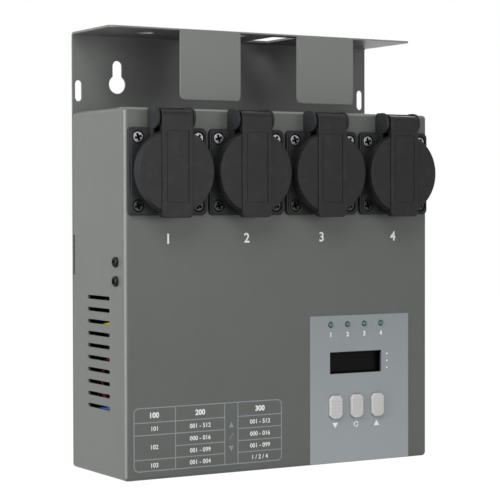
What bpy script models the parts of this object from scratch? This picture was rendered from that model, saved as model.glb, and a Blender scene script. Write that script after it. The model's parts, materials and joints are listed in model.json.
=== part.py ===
"""A four-channel DMX switch pack: a sheet-steel case on a wall plate, with four lidded mains sockets.

Metres, +Z up, front towards -Y, +X to the right. The origin is the middle of the bottom face.
Each face of the case has its own frame: its sizes run to the right, up and outwards as that face is seen.
"""

import math

import bmesh
import bpy
from mathutils import Matrix, Vector

MM = 0.001

# Clearances. FIT lies between a piece and what it rests on or passes through.
FIT = 0.3 * MM
ADHESIVE = 0.1 * MM

# Sheet-steel case
SHEET = 1.2 * MM
BEND = 2.2 * MM
CASE_HEIGHT = 210.0 * MM
CASE_DEPTH = 69.0 * MM
SIDE_MARGIN = 1.7 * MM
CORNER = 2.6 * MM

# Bracket above the case, bent from the wall plate
BRACKET_RISE = 47.0 * MM
BRACKET_REACH = 53.5 * MM
BRACKET_CORNER = 6.0 * MM
TAB_WIDTH = 40.0 * MM
TAB_GAP = 39.4 * MM
TAB_CLEARANCE = 5.3 * MM
TAB_CORNER = 3.0 * MM
KEYHOLE_SPREAD = 148.8 * MM
KEYHOLE_RISE = 17.1 * MM
KEYHOLE_HEAD = 11.0 * MM
KEYHOLE_NECK = 6.2 * MM
KEYHOLE_LENGTH = 11.0 * MM
EDGE_SLOT_INSET = 3.9 * MM
EDGE_SLOT_WIDTH = 4.4 * MM
EDGE_SLOT_LENGTH = 12.5 * MM
EDGE_SLOT_RISE = 12.7 * MM
BOLT_HOLE = 10.5 * MM
BOLT_HOLE_SPREAD = 139.0 * MM
BOLT_HOLE_FROM_WALL = 28.0 * MM
CLAMP_SLOT_WIDTH = 16.5 * MM
CLAMP_SLOT_LENGTH = 34.5 * MM
CLAMP_SLOT_SPREAD = 34.4 * MM
CLAMP_SLOT_FROM_WALL = 25.7 * MM

# Mains sockets
SOCKET_COUNT = 4
SOCKET_FLANGE = 49.5 * MM
SOCKET_FLANGE_THICKNESS = 3.2 * MM
SOCKET_CORNER = 3.0 * MM
SOCKET_EDGE = 0.45 * MM
SOCKET_GAP = 2.05 * MM
SOCKET_DROP = 36.1 * MM
COLLAR_RADIUS = 22.3 * MM
COLLAR_RISE = 10.7 * MM
BARREL_RADIUS = 21.6 * MM
BARREL_DEPTH = 24.0 * MM
RECESS_RADIUS = 19.4 * MM
RECESS_DEPTH = 17.5 * MM
CONTACT_SPREAD = 19.0 * MM
CONTACT_HOLE = 5.6 * MM
CONTACT_FLOOR = 3.0 * MM
CONTACT_CHAMBER = (9.0 * MM, 16.0 * MM)
KEY_RIB = (5.0 * MM, 1.8 * MM)

# Countersunk and pan-head screws
SCREW_INSET = 5.55 * MM
SCREW_SHANK = 2.9 * MM
SCREW_HEAD = 7.0 * MM
SCREW_REACH = 7.0 * MM
CROSS_WIDTH = 0.9 * MM
CROSS_SPAN = 4.0 * MM
CROSS_DEPTH = 1.1 * MM
PAN_HEAD = 6.0 * MM
PAN_HEIGHT = 1.7 * MM
PAN_REACH = 7.0 * MM
PAN_SCREW_FROM_FRONT = 10.7 * MM
PAN_SCREW_HEIGHT = 117.6 * MM
PAN_SCREW_SPREAD = 10.8 * MM

# Hinge of a lid, measured from the socket's middle and the panel's face
HINGE_RISE = 30.1 * MM
HINGE_PROUD = 7.0 * MM
PIN_DIAMETER = 2.0 * MM
EAR_RADIUS = 5.8 * MM
EAR_CORNER = 2.5 * MM
EAR_THICKNESS = 1.6 * MM
EAR_GAP = 0.8 * MM
EAR_LEG = 3.2 * MM
WEB_THICKNESS = 1.4 * MM
WEB_RISE = 4.3 * MM

# Lid
LID_RADIUS = 24.5 * MM
LID_THICKNESS = 2.2 * MM
LID_SKIRT = 1.6 * MM
LID_EDGE = 1.2 * MM
STRAP_WIDTH = 19.4 * MM
STRAP_RAISE = 1.0 * MM
STRAP_BELOW = 26.0 * MM
STRAP_CORNER = 2.5 * MM
STRAP_EDGE = 0.5 * MM
STRAP_THICKNESS = 4.4 * MM
STRAP_TOP_RADIUS = 3.5 * MM
KNUCKLE_RADIUS = 3.7 * MM
PLATE_WIDTH = 14.0 * MM
PLATE_ABOVE = 22.8 * MM
PLATE_BELOW = 17.6 * MM
PLATE_DEPTH = 0.4 * MM

# Torsion spring on the hinge pin
SPRING_WIRE = 0.6 * MM
SPRING_TURNS = 2
SPRING_PITCH = 2.6 * MM
SPRING_STEPS = 8
SPRING_FRONT_LEG = 3.2 * MM
SPRING_REAR_LEG = 1.0 * MM
SPRING_POCKET = 9.0 * MM

# Control panel: a film at the lower right of the front
LABEL_WIDTH = 71.2 * MM
LABEL_HEIGHT = 88.2 * MM
LABEL_THICKNESS = 0.3 * MM
LABEL_FROM_RIGHT = 14.1 * MM
LABEL_FROM_BOTTOM = 0.6 * MM
LABEL_CORNER = 1.0 * MM
CONTROLS_OFFSET = 3.0 * MM
LAMP_DROP = 5.4 * MM
LAMP_PITCH = 12.05 * MM
LAMP_DIAMETER = 3.0 * MM
LAMP_PROUD = 1.3 * MM
LAMP_FLANGE = 0.5 * MM
WINDOW = (37.3 * MM, 13.1 * MM)
WINDOW_HEIGHT = 60.4 * MM
DISPLAY_BORDER = 3.0 * MM
DISPLAY_RECESS = 3.5 * MM
KEY = (8.5 * MM, 14.0 * MM)
KEY_CHAMFER = 2.0 * MM
KEY_PITCH = 15.0 * MM
KEY_HEIGHT = 34.1 * MM
KEY_PROUD = 2.3 * MM
KEY_EDGE = 0.4 * MM
KEY_RIM = 0.8 * MM
KEY_RIM_THICKNESS = 1.2 * MM
KEY_STEM = 3.2 * MM
KEY_TRAVEL = 0.8 * MM
KEY_GROOVES = 5
KEY_GROOVE = 0.5 * MM
SWITCH_SIZE = 6.0 * MM
SWITCH_HEIGHT = 4.0 * MM

# Boards
BOARD = 1.6 * MM
CONTROL_STANDOFF = 9.5 * MM
CONTROL_BOARD_MARGIN = 2.0 * MM
CONTROL_BOARD_BOTTOM = 6.0 * MM
STUD_DIAMETER = 5.0 * MM
STUD_INSET = 5.5 * MM
RELAY_STANDOFF = 6.0 * MM
RELAY_BOARD = (98.0 * MM, 94.0 * MM)
RELAY_BOARD_FROM_LEFT = 5.0 * MM
RELAY_BOARD_FROM_BOTTOM = 11.0 * MM
RELAY = (12.7 * MM, 29.0 * MM, 15.7 * MM)
RELAY_PITCH = 17.0 * MM
RELAY_CORNER = 0.8 * MM
RELAY_ROW_INSET = 12.0 * MM
RELAY_ROW_HEIGHT = 54.0 * MM
TRANSFORMER = (36.0 * MM, 30.0 * MM, 24.0 * MM)
TRANSFORMER_AT = (66.0 * MM, 20.0 * MM)
TRANSFORMER_CORE = 9.0 * MM
TERMINAL_BLOCK = (62.0 * MM, 10.0 * MM, 12.0 * MM)
TERMINAL_WAYS = 8
CAPACITORS = ((16.0 * MM, 20.0 * MM), (32.0 * MM, 20.0 * MM))
CAPACITOR = (10.0 * MM, 16.0 * MM)

# Vents in the left side
VENT_COUNT = 10
VENT_PITCH = 6.97 * MM
VENT_WIDTH = 28.4 * MM
VENT_GAP = 2.3 * MM
VENT_FROM_FRONT = 19.4 * MM
VENT_HEIGHT = 39.3 * MM
NOTCH = (2.0 * MM, 23.3 * MM)
NOTCH_HEIGHT = 126.0 * MM

# Side lugs that take the pan-head screws
LUG_HEIGHT = 25.0 * MM
LUG_BEYOND_SCREW = 6.0 * MM

# Fittings on the right side: two connectors below the side lug, and a gland and a breaker above it
FITTINGS_BEHIND_MIDDLE = 8.0 * MM
FITTING_GAP = 5.0 * MM
CONNECTOR_FLANGE = (26.0 * MM, 31.0 * MM)
CONNECTOR_FLANGE_THICKNESS = 2.0 * MM
CONNECTOR_CORNER = 3.0 * MM
CONNECTOR_SHELL = 11.4 * MM
CONNECTOR_BORE = 9.5 * MM
CONNECTOR_DEPTH = 18.0 * MM
CONNECTOR_MOUTH = 14.0 * MM
CONNECTOR_PIN = 2.4 * MM
CONNECTOR_PIN_CIRCLE = 4.9 * MM
CONNECTOR_PIN_LENGTH = 11.5 * MM
INSERT_RADIUS = 7.6 * MM
INLET_HEIGHT = 26.0 * MM
OUTLET_HEIGHT = 64.0 * MM
LATCH = (8.0 * MM, 3.6 * MM)
LATCH_PROUD = 1.7 * MM
LATCH_TRAVEL = 1.2 * MM
BREAKER_BODY = (28.0 * MM, 14.0 * MM, 26.0 * MM)
BREAKER_NECK = 11.0 * MM
BREAKER_NECK_LENGTH = 6.5 * MM
BREAKER_NUT = 15.0 * MM
BREAKER_NUT_THICKNESS = 2.5 * MM
BREAKER_BUTTON = 6.4 * MM
BREAKER_BUTTON_PROUD = 4.0 * MM
BREAKER_BUTTON_DEPTH = 5.0 * MM
BREAKER_TRAVEL = 2.5 * MM
GLAND_HEX = 22.0 * MM
GLAND_HEX_THICKNESS = 5.0 * MM
GLAND_THREAD = 15.6 * MM
GLAND_THREAD_REACH = 9.0 * MM
GLAND_LOCKNUT_THICKNESS = 4.0 * MM
GLAND_BORE = 10.0 * MM
GLAND_COLLET = 15.0 * MM
GLAND_COLLET_LENGTH = 7.0 * MM
GLAND_CAP_LENGTH = 14.0 * MM
GLAND_CAP_TIP = 14.0 * MM
GLAND_CAP_STRAIGHT = 7.5 * MM

# Sides of a round outline, by its size
FINE_SIDES = 24
ROUND_SIDES = 16
SMALL_SIDES = 10
HIDDEN_SIDES = 8
CORNER_STEPS = 3

# Places that follow from the sizes above
SOCKET_PITCH = SOCKET_FLANGE + SOCKET_GAP
CASE_WIDTH = SOCKET_COUNT * SOCKET_PITCH - SOCKET_GAP + 2 * SIDE_MARGIN
OVERALL_HEIGHT = CASE_HEIGHT + BRACKET_RISE
FRONT = -CASE_DEPTH / 2
WALL = CASE_DEPTH / 2
PLATE_FRONT = WALL - SHEET
TAB_FACE = WALL - BRACKET_REACH
TAB_FOOT = CASE_HEIGHT + TAB_CLEARANCE
SIDE = CASE_WIDTH / 2
SOCKET_HEIGHT = CASE_HEIGHT - SOCKET_DROP
LABEL_MIDDLE = SIDE - LABEL_FROM_RIGHT - LABEL_WIDTH / 2
CONTROLS_MIDDLE = LABEL_MIDDLE - CONTROLS_OFFSET
LABEL_TOP = LABEL_FROM_BOTTOM + LABEL_HEIGHT
LAMP_HEIGHT = LABEL_TOP - LAMP_DROP
PANEL_SKIN = ADHESIVE + LABEL_THICKNESS
CONTROL_BOARD_FACE = SHEET + CONTROL_STANDOFF + FIT
STRAP_FRONT = COLLAR_RISE + FIT + LID_THICKNESS + STRAP_RAISE
LID_FACE = STRAP_FRONT - STRAP_RAISE
EAR_INNER = STRAP_WIDTH / 2 + EAR_GAP
EAR_OUTER = EAR_INNER + EAR_THICKNESS
PIN_HOLE = PIN_DIAMETER / 2 + FIT
SPRING_RADIUS = PIN_HOLE + SPRING_WIRE / 2
POCKET_RADIUS = SPRING_RADIUS + SPRING_WIRE / 2 + 2 * FIT
SCREW_HOLE = SCREW_SHANK / 2 + FIT
SCREW_TOP = SOCKET_FLANGE_THICKNESS - SOCKET_EDGE / 2
RELAY_BOARD_FACE = RELAY_STANDOFF + FIT + BOARD
CONNECTOR_FACE = FIT + CONNECTOR_FLANGE_THICKNESS
CONNECTOR_FLOOR = CONNECTOR_FACE - CONNECTOR_MOUTH
LATCH_OFFSET = CONNECTOR_BORE + 2 * FIT + LATCH[1] / 2
GLAND_HEIGHT = PAN_SCREW_HEIGHT + (LUG_HEIGHT + GLAND_HEX) / 2 + FITTING_GAP
BREAKER_HEIGHT = GLAND_HEIGHT + (GLAND_HEX + BREAKER_NUT) / 2 + FITTING_GAP

# How far a cutter runs past what it cuts, and how deep a joined shape reaches in
BEYOND = 5.0 * MM
OVERLAP = SHEET / 2

FACES = {
    "up": Matrix.Identity(4),
    "front": Matrix.Rotation(math.radians(90), 4, "X"),
    "right": Matrix.Rotation(math.radians(90), 4, "Z") @ Matrix.Rotation(math.radians(90), 4, "X"),
    "left": Matrix.Rotation(math.radians(-90), 4, "Z") @ Matrix.Rotation(math.radians(90), 4, "X"),
}


def clear_scene():
    for obj in list(bpy.data.objects):
        bpy.data.objects.remove(obj)


def arc(middle, radius, start, end, steps):
    """Points on an arc, both ends included, with its angles in degrees."""
    angles = [math.radians(start + (end - start) * step / steps) for step in range(steps + 1)]
    return [(middle[0] + radius * math.cos(a), middle[1] + radius * math.sin(a)) for a in angles]


def circle(radius, sides=ROUND_SIDES, middle=(0, 0)):
    return arc(middle, radius, 0, 360, sides)[:-1]


def rectangle(width, height, middle=(0, 0)):
    corners = ((-1, -1), (1, -1), (1, 1), (-1, 1))
    return [(middle[0] + x * width / 2, middle[1] + y * height / 2) for x, y in corners]


def span(x_range, y_range):
    """The rectangle between two lower and two upper limits."""
    (left, right), (low, high) = x_range, y_range
    return [(left, low), (right, low), (right, high), (left, high)]


def rounded(width, height, radius, middle=(0, 0), steps=CORNER_STEPS):
    """A rectangle with round corners."""
    points = []
    for x, y, start in ((1, -1, -90), (1, 1, 0), (-1, 1, 90), (-1, -1, 180)):
        corner = (middle[0] + x * (width / 2 - radius), middle[1] + y * (height / 2 - radius))
        points += arc(corner, radius, start, start + 90, steps)
    return points


def chamfered(width, height, chamfer):
    """A rectangle with its corners cut off."""
    points = []
    for x, y in ((1, -1), (1, 1), (-1, 1), (-1, -1)):
        near_side = (x * width / 2, y * (height / 2 - chamfer))
        near_end = (x * (width / 2 - chamfer), y * height / 2)
        points += [near_end, near_side] if x * y < 0 else [near_side, near_end]
    return points


def upright_slot(width, length, middle):
    """A slot with round ends, standing on end."""
    half = (length - width) / 2
    top = arc((middle[0], middle[1] + half), width / 2, 0, 180, SMALL_SIDES // 2)
    return top + arc((middle[0], middle[1] - half), width / 2, 180, 360, SMALL_SIDES // 2)


def keyhole(middle):
    """A round head with a narrower neck above it."""
    turn = math.degrees(math.asin(KEYHOLE_NECK / KEYHOLE_HEAD))
    head = arc(middle, KEYHOLE_HEAD / 2, 90 + turn, 450 - turn, ROUND_SIDES)
    top = (middle[0], middle[1] + KEYHOLE_LENGTH)
    return head + arc(top, KEYHOLE_NECK / 2, 0, 180, SMALL_SIDES // 2)


def hexagon(across_flats):
    return circle(across_flats / math.sqrt(3), 6)


def cross(length, width):
    """The outline of a cross recess."""
    far, near = length / 2, width / 2
    right = [(far, -near), (far, near), (near, near)]
    above = [(-y, x) for x, y in right]
    return right + above + [(-x, -y) for x, y in right + above]


def stack(layers, face="up", at=(0, 0, 0)):
    """A closed mesh through outlines at rising heights over a face, each with the same number of points."""
    form = bmesh.new()
    rings = [[form.verts.new((x, y, height)) for x, y in outline] for outline, height in layers]
    count = len(rings[0])
    for lower, upper in zip(rings, rings[1:]):
        for i in range(count):
            j = (i + 1) % count
            form.faces.new((lower[i], lower[j], upper[j], upper[i]))
    form.faces.new(reversed(rings[0]))
    form.faces.new(rings[-1])
    bmesh.ops.recalc_face_normals(form, faces=form.faces)
    form.transform(Matrix.Translation(at) @ FACES[face])
    mesh = bpy.data.meshes.new("form")
    form.to_mesh(mesh)
    form.free()
    return mesh


def block(outline, low, high, face="up", at=(0, 0, 0)):
    return stack([(outline, low), (outline, high)], face, at)


def turned(profile, sides, face="up", at=(0, 0, 0), middle=(0, 0)):
    """A round mesh through radii at rising heights."""
    return stack([(circle(radius, sides, middle), height) for radius, height in profile], face, at)


def shaped(base, joined=(), cut=()):
    """Joins meshes to a base mesh, cuts others away from it and gives back the finished mesh."""
    helpers = [bpy.data.objects.new("base", base)]
    for operation, meshes in (("UNION", joined), ("DIFFERENCE", cut)):
        for mesh in meshes:
            helper = bpy.data.objects.new("helper", mesh)
            modifier = helpers[0].modifiers.new(operation.lower(), "BOOLEAN")
            modifier.operation = operation
            modifier.object = helper
            helpers.append(helper)
    for helper in helpers:
        bpy.context.collection.objects.link(helper)
    graph = bpy.context.evaluated_depsgraph_get()
    mesh = bpy.data.meshes.new_from_object(helpers[0].evaluated_get(graph))
    for helper in helpers:
        bpy.data.objects.remove(helper)
    return mesh


def material(name, colour, roughness, metallic=0.0):
    made = bpy.data.materials.new(name)
    made.use_nodes = True
    shader = made.node_tree.nodes["Principled BSDF"]
    shader.inputs["Base Color"].default_value = (*colour, 1)
    shader.inputs["Roughness"].default_value = roughness
    shader.inputs["Metallic"].default_value = metallic
    return made


def place(name, data, finish, parent, at=(0, 0, 0)):
    """A named object at a place in its parent's frame."""
    obj = bpy.data.objects.new(name, data)
    bpy.context.collection.objects.link(obj)
    obj.parent = parent
    obj.location = at
    if not data.materials:
        data.materials.append(finish)
    if isinstance(data, bpy.types.Mesh):
        data.shade_smooth()
        data.set_sharp_from_angle(angle=math.radians(35))
    return obj


def frame(name, at, parent=None):
    """An empty that carries the pieces of one sub-assembly."""
    empty = bpy.data.objects.new(name, None)
    bpy.context.collection.objects.link(empty)
    empty.parent = parent
    empty.location = at
    return empty


def socket_places():
    """How far right of the middle each socket lies."""
    first = -(SOCKET_COUNT - 1) / 2 * SOCKET_PITCH
    return [first + SOCKET_PITCH * number for number in range(SOCKET_COUNT)]


def screw_places():
    """The four screws of a socket, from its middle."""
    reach = SOCKET_FLANGE / 2 - SCREW_INSET
    return {
        "upper_left": (-reach, reach),
        "upper_right": (reach, reach),
        "lower_left": (-reach, -reach),
        "lower_right": (reach, -reach),
    }


def lamp_places():
    first = CONTROLS_MIDDLE - (SOCKET_COUNT - 1) / 2 * LAMP_PITCH
    return [(first + LAMP_PITCH * number, LAMP_HEIGHT) for number in range(SOCKET_COUNT)]


def key_places():
    return {
        "down": (CONTROLS_MIDDLE - KEY_PITCH, KEY_HEIGHT),
        "mode": (CONTROLS_MIDDLE, KEY_HEIGHT),
        "up": (CONTROLS_MIDDLE + KEY_PITCH, KEY_HEIGHT),
    }


def pan_screw_places():
    """The side screws, as distance behind the front and height."""
    middle = PAN_SCREW_HEIGHT
    return {
        "upper": (PAN_SCREW_FROM_FRONT, middle + PAN_SCREW_SPREAD / 2),
        "lower": (PAN_SCREW_FROM_FRONT, middle - PAN_SCREW_SPREAD / 2),
    }


def bracket_profile():
    """Wall plate, flange and full-width front leg, seen from the right side, with the front corner sharp."""
    rear_bend = (WALL - BEND, OVERALL_HEIGHT - BEND)
    front_bend = (TAB_FACE + BEND, OVERALL_HEIGHT - BEND)
    inside = BEND - SHEET
    return [
        (WALL, 0),
        *arc(rear_bend, BEND, 0, 90, CORNER_STEPS),
        (TAB_FACE, OVERALL_HEIGHT),
        (TAB_FACE, TAB_FOOT),
        (TAB_FACE + SHEET, TAB_FOOT),
        *arc(front_bend, inside, 180, 90, CORNER_STEPS),
        *arc(rear_bend, inside, 90, 0, CORNER_STEPS),
        (PLATE_FRONT, 0),
    ]


def corner_waste(corner, radius, right, up):
    """What is cut off a corner to round it. Right and up are 1 or -1 and point out of the corner."""
    middle = (corner[0] - right * radius, corner[1] - up * radius)
    far = (corner[0] + right * BEYOND, corner[1] + up * BEYOND)
    turn = arc((0, 0), radius, 0, 90, 2 * CORNER_STEPS)
    curve = [(middle[0] + right * x, middle[1] + up * y) for x, y in turn]
    return [*curve, (middle[0], far[1]), far, (far[0], middle[1])]


def tab_edges():
    """The left and right edges of the two tabs."""
    inner, outer = TAB_GAP / 2, TAB_GAP / 2 + TAB_WIDTH
    return ((-outer, -inner), (inner, outer))


def plate_cuts():
    """What is cut from the wall plate: its bottom corners, keyholes and edge slots."""
    outlines = []
    for side in (-1, 1):
        outlines.append(corner_waste((side * SIDE, 0), CORNER, side, -1))
        outlines.append(keyhole((side * KEYHOLE_SPREAD / 2, CASE_HEIGHT + KEYHOLE_RISE)))
        edge_slot = (side * (SIDE - EDGE_SLOT_INSET), CASE_HEIGHT + EDGE_SLOT_RISE)
        outlines.append(upright_slot(EDGE_SLOT_WIDTH, EDGE_SLOT_LENGTH, edge_slot))
    return [block(outline, -WALL - BEYOND, -PLATE_FRONT + BEYOND, "front") for outline in outlines]


def flange_cuts():
    """What is cut from the flange: its front corners, bolt holes and clamp slots."""
    outlines = []
    for side in (-1, 1):
        outlines.append(corner_waste((side * SIDE, TAB_FACE), BRACKET_CORNER, side, -1))
        bolt_hole = (side * BOLT_HOLE_SPREAD / 2, WALL - BOLT_HOLE_FROM_WALL)
        outlines.append(circle(BOLT_HOLE / 2, ROUND_SIDES, bolt_hole))
        clamp_slot = (side * CLAMP_SLOT_SPREAD / 2, WALL - CLAMP_SLOT_FROM_WALL)
        outlines.append(rectangle(CLAMP_SLOT_WIDTH, CLAMP_SLOT_LENGTH, clamp_slot))
    return [block(outline, OVERALL_HEIGHT - BEYOND, OVERALL_HEIGHT + BEYOND) for outline in outlines]


def front_leg_cuts():
    """What is cut from the bracket's front leg to leave two bent tabs with round lower corners."""
    (first, second), (third, last) = tab_edges()
    across = (TAB_FACE - BEYOND, TAB_FACE + BEND)
    gaps = (-SIDE - BEYOND, first), (second, third), (last, SIDE + BEYOND)
    cut = [block(span(gap, across), CASE_HEIGHT, OVERALL_HEIGHT - SHEET) for gap in gaps]
    for edges in tab_edges():
        cut.append(block(corner_waste((TAB_FACE, OVERALL_HEIGHT), BEND, -1, 1), *edges, "right"))
        for right, x in zip((-1, 1), edges):
            outline = corner_waste((x, TAB_FOOT), TAB_CORNER, right, -1)
            cut.append(block(outline, -TAB_FACE - BEYOND, -TAB_FACE + BEYOND, "front"))
    return cut


def make_chassis(parent, steel):
    """The wall plate, its bracket, the side lugs and the relay board's standoffs."""
    cut = plate_cuts() + flange_cuts() + front_leg_cuts()
    strip = shaped(block(bracket_profile(), -SIDE, SIDE, "right"), cut=cut)
    standoffs = studs(relay_board_corners(), -PLATE_FRONT - OVERLAP, -PLATE_FRONT + RELAY_STANDOFF)
    place("rear_chassis", shaped(strip, [lug(-1), lug(1), *standoffs]), steel, parent)


def studs(spots, low, high):
    """Studs of one diameter that carry a board."""
    return [block(circle(STUD_DIAMETER / 2, HIDDEN_SIDES, spot), low, high, "front") for spot in spots]


def lug(side):
    """A strip standing on the wall plate just inside a case wall, which takes the side screws."""
    outer = SIDE - SHEET - FIT
    front = FRONT + PAN_SCREW_FROM_FRONT - LUG_BEYOND_SCREW
    upright = (PAN_SCREW_HEIGHT - LUG_HEIGHT / 2, PAN_SCREW_HEIGHT + LUG_HEIGHT / 2)
    low, high = (outer - SHEET, outer) if side > 0 else (-outer, SHEET - outer)
    strip = block(span((front, PLATE_FRONT + OVERLAP), upright), low, high, "right")
    holes = [
        block(circle(SCREW_HOLE, SMALL_SIDES, (FRONT + back, height)), low - BEYOND, high + BEYOND, "right")
        for back, height in pan_screw_places().values()
    ]
    return shaped(strip, cut=holes)


def relay_board_corner():
    """The board's lower left corner."""
    return (-SIDE + SHEET + RELAY_BOARD_FROM_LEFT, SHEET + RELAY_BOARD_FROM_BOTTOM)


def relay_board_middle():
    left, bottom = relay_board_corner()
    return (left + RELAY_BOARD[0] / 2, bottom + RELAY_BOARD[1] / 2)


def relay_board_corners():
    middle = relay_board_middle()
    reach = (RELAY_BOARD[0] / 2 - STUD_INSET, RELAY_BOARD[1] / 2 - STUD_INSET)
    return [(middle[0] + x * reach[0], middle[1] + z * reach[1]) for x in (-1, 1) for z in (-1, 1)]


def control_board_size():
    return (LABEL_WIDTH - 2 * CONTROL_BOARD_MARGIN, LABEL_TOP - CONTROL_BOARD_MARGIN - CONTROL_BOARD_BOTTOM)


def control_board_middle():
    return (LABEL_MIDDLE, CONTROL_BOARD_BOTTOM + control_board_size()[1] / 2)


def control_board_corners():
    middle, size = control_board_middle(), control_board_size()
    reach = (size[0] / 2 - STUD_INSET, size[1] / 2 - STUD_INSET)
    return [(middle[0] + x * reach[0], middle[1] + z * reach[1]) for x in (-1, 1) for z in (-1, 1)]


def panel_openings(clearance):
    """The openings of the control panel for its lamps, window and keys."""
    holes = [circle(LAMP_DIAMETER / 2 + clearance, SMALL_SIDES, spot) for spot in lamp_places()]
    holes.append(rectangle(*WINDOW, (CONTROLS_MIDDLE, WINDOW_HEIGHT)))
    key = chamfered(KEY[0] + 2 * clearance, KEY[1] + 2 * clearance, KEY_CHAMFER)
    holes += [[(x + spot[0], z + spot[1]) for x, z in key] for spot in key_places().values()]
    return holes


def make_cover(parent, steel):
    """The case: a sheet box with an open back, and all that is cut in it."""
    middle = (0, CASE_HEIGHT / 2)
    rear = PLATE_FRONT - FIT
    layers = [(rounded(CASE_WIDTH, CASE_HEIGHT, CORNER, middle), -rear)]
    for step in range(CORNER_STEPS + 1):
        angle = math.radians(90 * step / CORNER_STEPS)
        inset, rise = BEND * (1 - math.cos(angle)), BEND * (math.sin(angle) - 1)
        outline = rounded(CASE_WIDTH - 2 * inset, CASE_HEIGHT - 2 * inset, CORNER - inset, middle)
        layers.append((outline, -FRONT + rise))
    inside = rounded(CASE_WIDTH - 2 * SHEET, CASE_HEIGHT - 2 * SHEET, CORNER - SHEET, middle)
    hollow = block(inside, -rear - BEYOND, -FRONT - SHEET, "front")
    # The studs stand on the inside of the panel, so they join after the hollow is cut.
    seat = -FRONT - SHEET
    control_studs = studs(control_board_corners(), seat - CONTROL_STANDOFF, seat + OVERLAP)
    shell = shaped(shaped(stack(layers, "front"), cut=[hollow]), joined=control_studs)
    low, high = -FRONT - BEYOND, -FRONT + BEYOND
    front_holes = panel_openings(FIT)
    for x in socket_places():
        front_holes.append(circle(BARREL_RADIUS + FIT, FINE_SIDES, (x, SOCKET_HEIGHT)))
        for dx, dz in screw_places().values():
            front_holes.append(circle(SCREW_HOLE, HIDDEN_SIDES, (x + dx, SOCKET_HEIGHT + dz)))
    cut = [block(hole, low, high, "front") for hole in front_holes]
    cut += left_side_cuts() + right_side_cuts()
    return place("front_cover", shaped(shell, cut=cut), steel, parent)


def left_side_cuts():
    """Vents, screw holes and the notch at the rear of the left side."""
    low, high = SIDE - BEYOND, SIDE + BEYOND
    vent_middle = -(FRONT + VENT_FROM_FRONT + VENT_WIDTH / 2)
    outlines = [
        rounded(VENT_WIDTH, VENT_GAP, VENT_GAP / 2 - FIT, (vent_middle, VENT_HEIGHT + VENT_PITCH * row), 1)
        for row in range(VENT_COUNT)
    ]
    for back, height in pan_screw_places().values():
        outlines.append(circle(SCREW_HOLE, SMALL_SIDES, (-FRONT - back, height)))
    rear = PLATE_FRONT - FIT
    outlines.append(rectangle(2 * NOTCH[0], NOTCH[1], (-rear, NOTCH_HEIGHT)))
    return [block(outline, low, high, "left") for outline in outlines]


def right_side_cuts():
    """Holes for the connectors, the breaker and the gland."""
    low, high = SIDE - BEYOND, SIDE + BEYOND
    back = FITTINGS_BEHIND_MIDDLE
    outlines = [
        circle(CONNECTOR_SHELL + FIT, FINE_SIDES, (back, INLET_HEIGHT)),
        circle(CONNECTOR_SHELL + FIT, FINE_SIDES, (back, OUTLET_HEIGHT)),
        rectangle(LATCH[0] + 4 * FIT, LATCH[1] + 6 * FIT, (back, OUTLET_HEIGHT + LATCH_OFFSET)),
        circle(BREAKER_NECK / 2 + FIT, ROUND_SIDES, (back, BREAKER_HEIGHT)),
        circle(GLAND_THREAD / 2 + FIT, ROUND_SIDES, (back, GLAND_HEIGHT)),
    ]
    return [block(outline, low, high, "right") for outline in outlines]


def ear_outline():
    """A hinge ear seen from the right side, about the panel's face at the socket's middle."""
    axis = (-HINGE_PROUD, HINGE_RISE)
    foot = SOCKET_FLANGE / 2 - EAR_LEG
    back = (-FIT - EAR_CORNER, HINGE_RISE + EAR_RADIUS - EAR_CORNER)
    curve = arc(back, EAR_CORNER, 0, 90, CORNER_STEPS) + arc(axis, EAR_RADIUS, 90, 270, ROUND_SIDES // 2)
    return [(-FIT, foot), *curve, (-SOCKET_FLANGE_THICKNESS, foot)]


def socket_mesh():
    """Flange, collar, barrel, ears and web of one socket, about the panel's face at the socket's middle."""
    flange, edge = SOCKET_FLANGE, 2 * SOCKET_EDGE
    body = stack(
        [
            (rounded(flange, flange, SOCKET_CORNER), FIT),
            (rounded(flange, flange, SOCKET_CORNER), SOCKET_FLANGE_THICKNESS - SOCKET_EDGE),
            (rounded(flange - edge, flange - edge, SOCKET_CORNER - SOCKET_EDGE), SOCKET_FLANGE_THICKNESS),
        ],
        "front",
    )
    joined = [
        block(circle(COLLAR_RADIUS, FINE_SIDES), FIT + OVERLAP, COLLAR_RISE, "front"),
        block(circle(BARREL_RADIUS, FINE_SIDES), -BARREL_DEPTH, FIT + 2 * OVERLAP, "front"),
    ]
    for side in (-1, 1):
        low, high = sorted((side * EAR_INNER, side * EAR_OUTER))
        joined.append(block(ear_outline(), low, high, "right"))
        joined.append(ear_leg(low, high))
    web_top = HINGE_RISE + WEB_RISE
    web = span((-EAR_INNER - OVERLAP, EAR_INNER + OVERLAP), (SOCKET_FLANGE / 2 - EAR_LEG, web_top))
    joined.append(block(web, FIT, FIT + WEB_THICKNESS, "front"))
    floor = COLLAR_RISE - RECESS_DEPTH
    cut = [block(circle(RECESS_RADIUS, FINE_SIDES), floor, COLLAR_RISE + BEYOND, "front")]
    for side in (-1, 1):
        contact = (side * CONTACT_SPREAD / 2, 0)
        hole = circle(CONTACT_HOLE / 2, SMALL_SIDES, contact)
        cut.append(block(hole, floor - 2 * CONTACT_FLOOR, floor + BEYOND, "front"))
        chamber = rectangle(*CONTACT_CHAMBER, contact)
        cut.append(block(chamber, -BARREL_DEPTH - BEYOND, floor - CONTACT_FLOOR, "front"))
    cut += [countersink(spot) for spot in screw_places().values()]
    cut.append(pin_hole())
    width, reach = KEY_RIB[1] + OVERLAP, RECESS_RADIUS + (OVERLAP - KEY_RIB[1]) / 2
    low, high = floor - OVERLAP, COLLAR_RISE - OVERLAP
    ribs = [block(rectangle(width, KEY_RIB[0], (x, 0)), low, high, "front") for x in (-reach, reach)]
    return shaped(shaped(body, joined, cut), joined=ribs)


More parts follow.
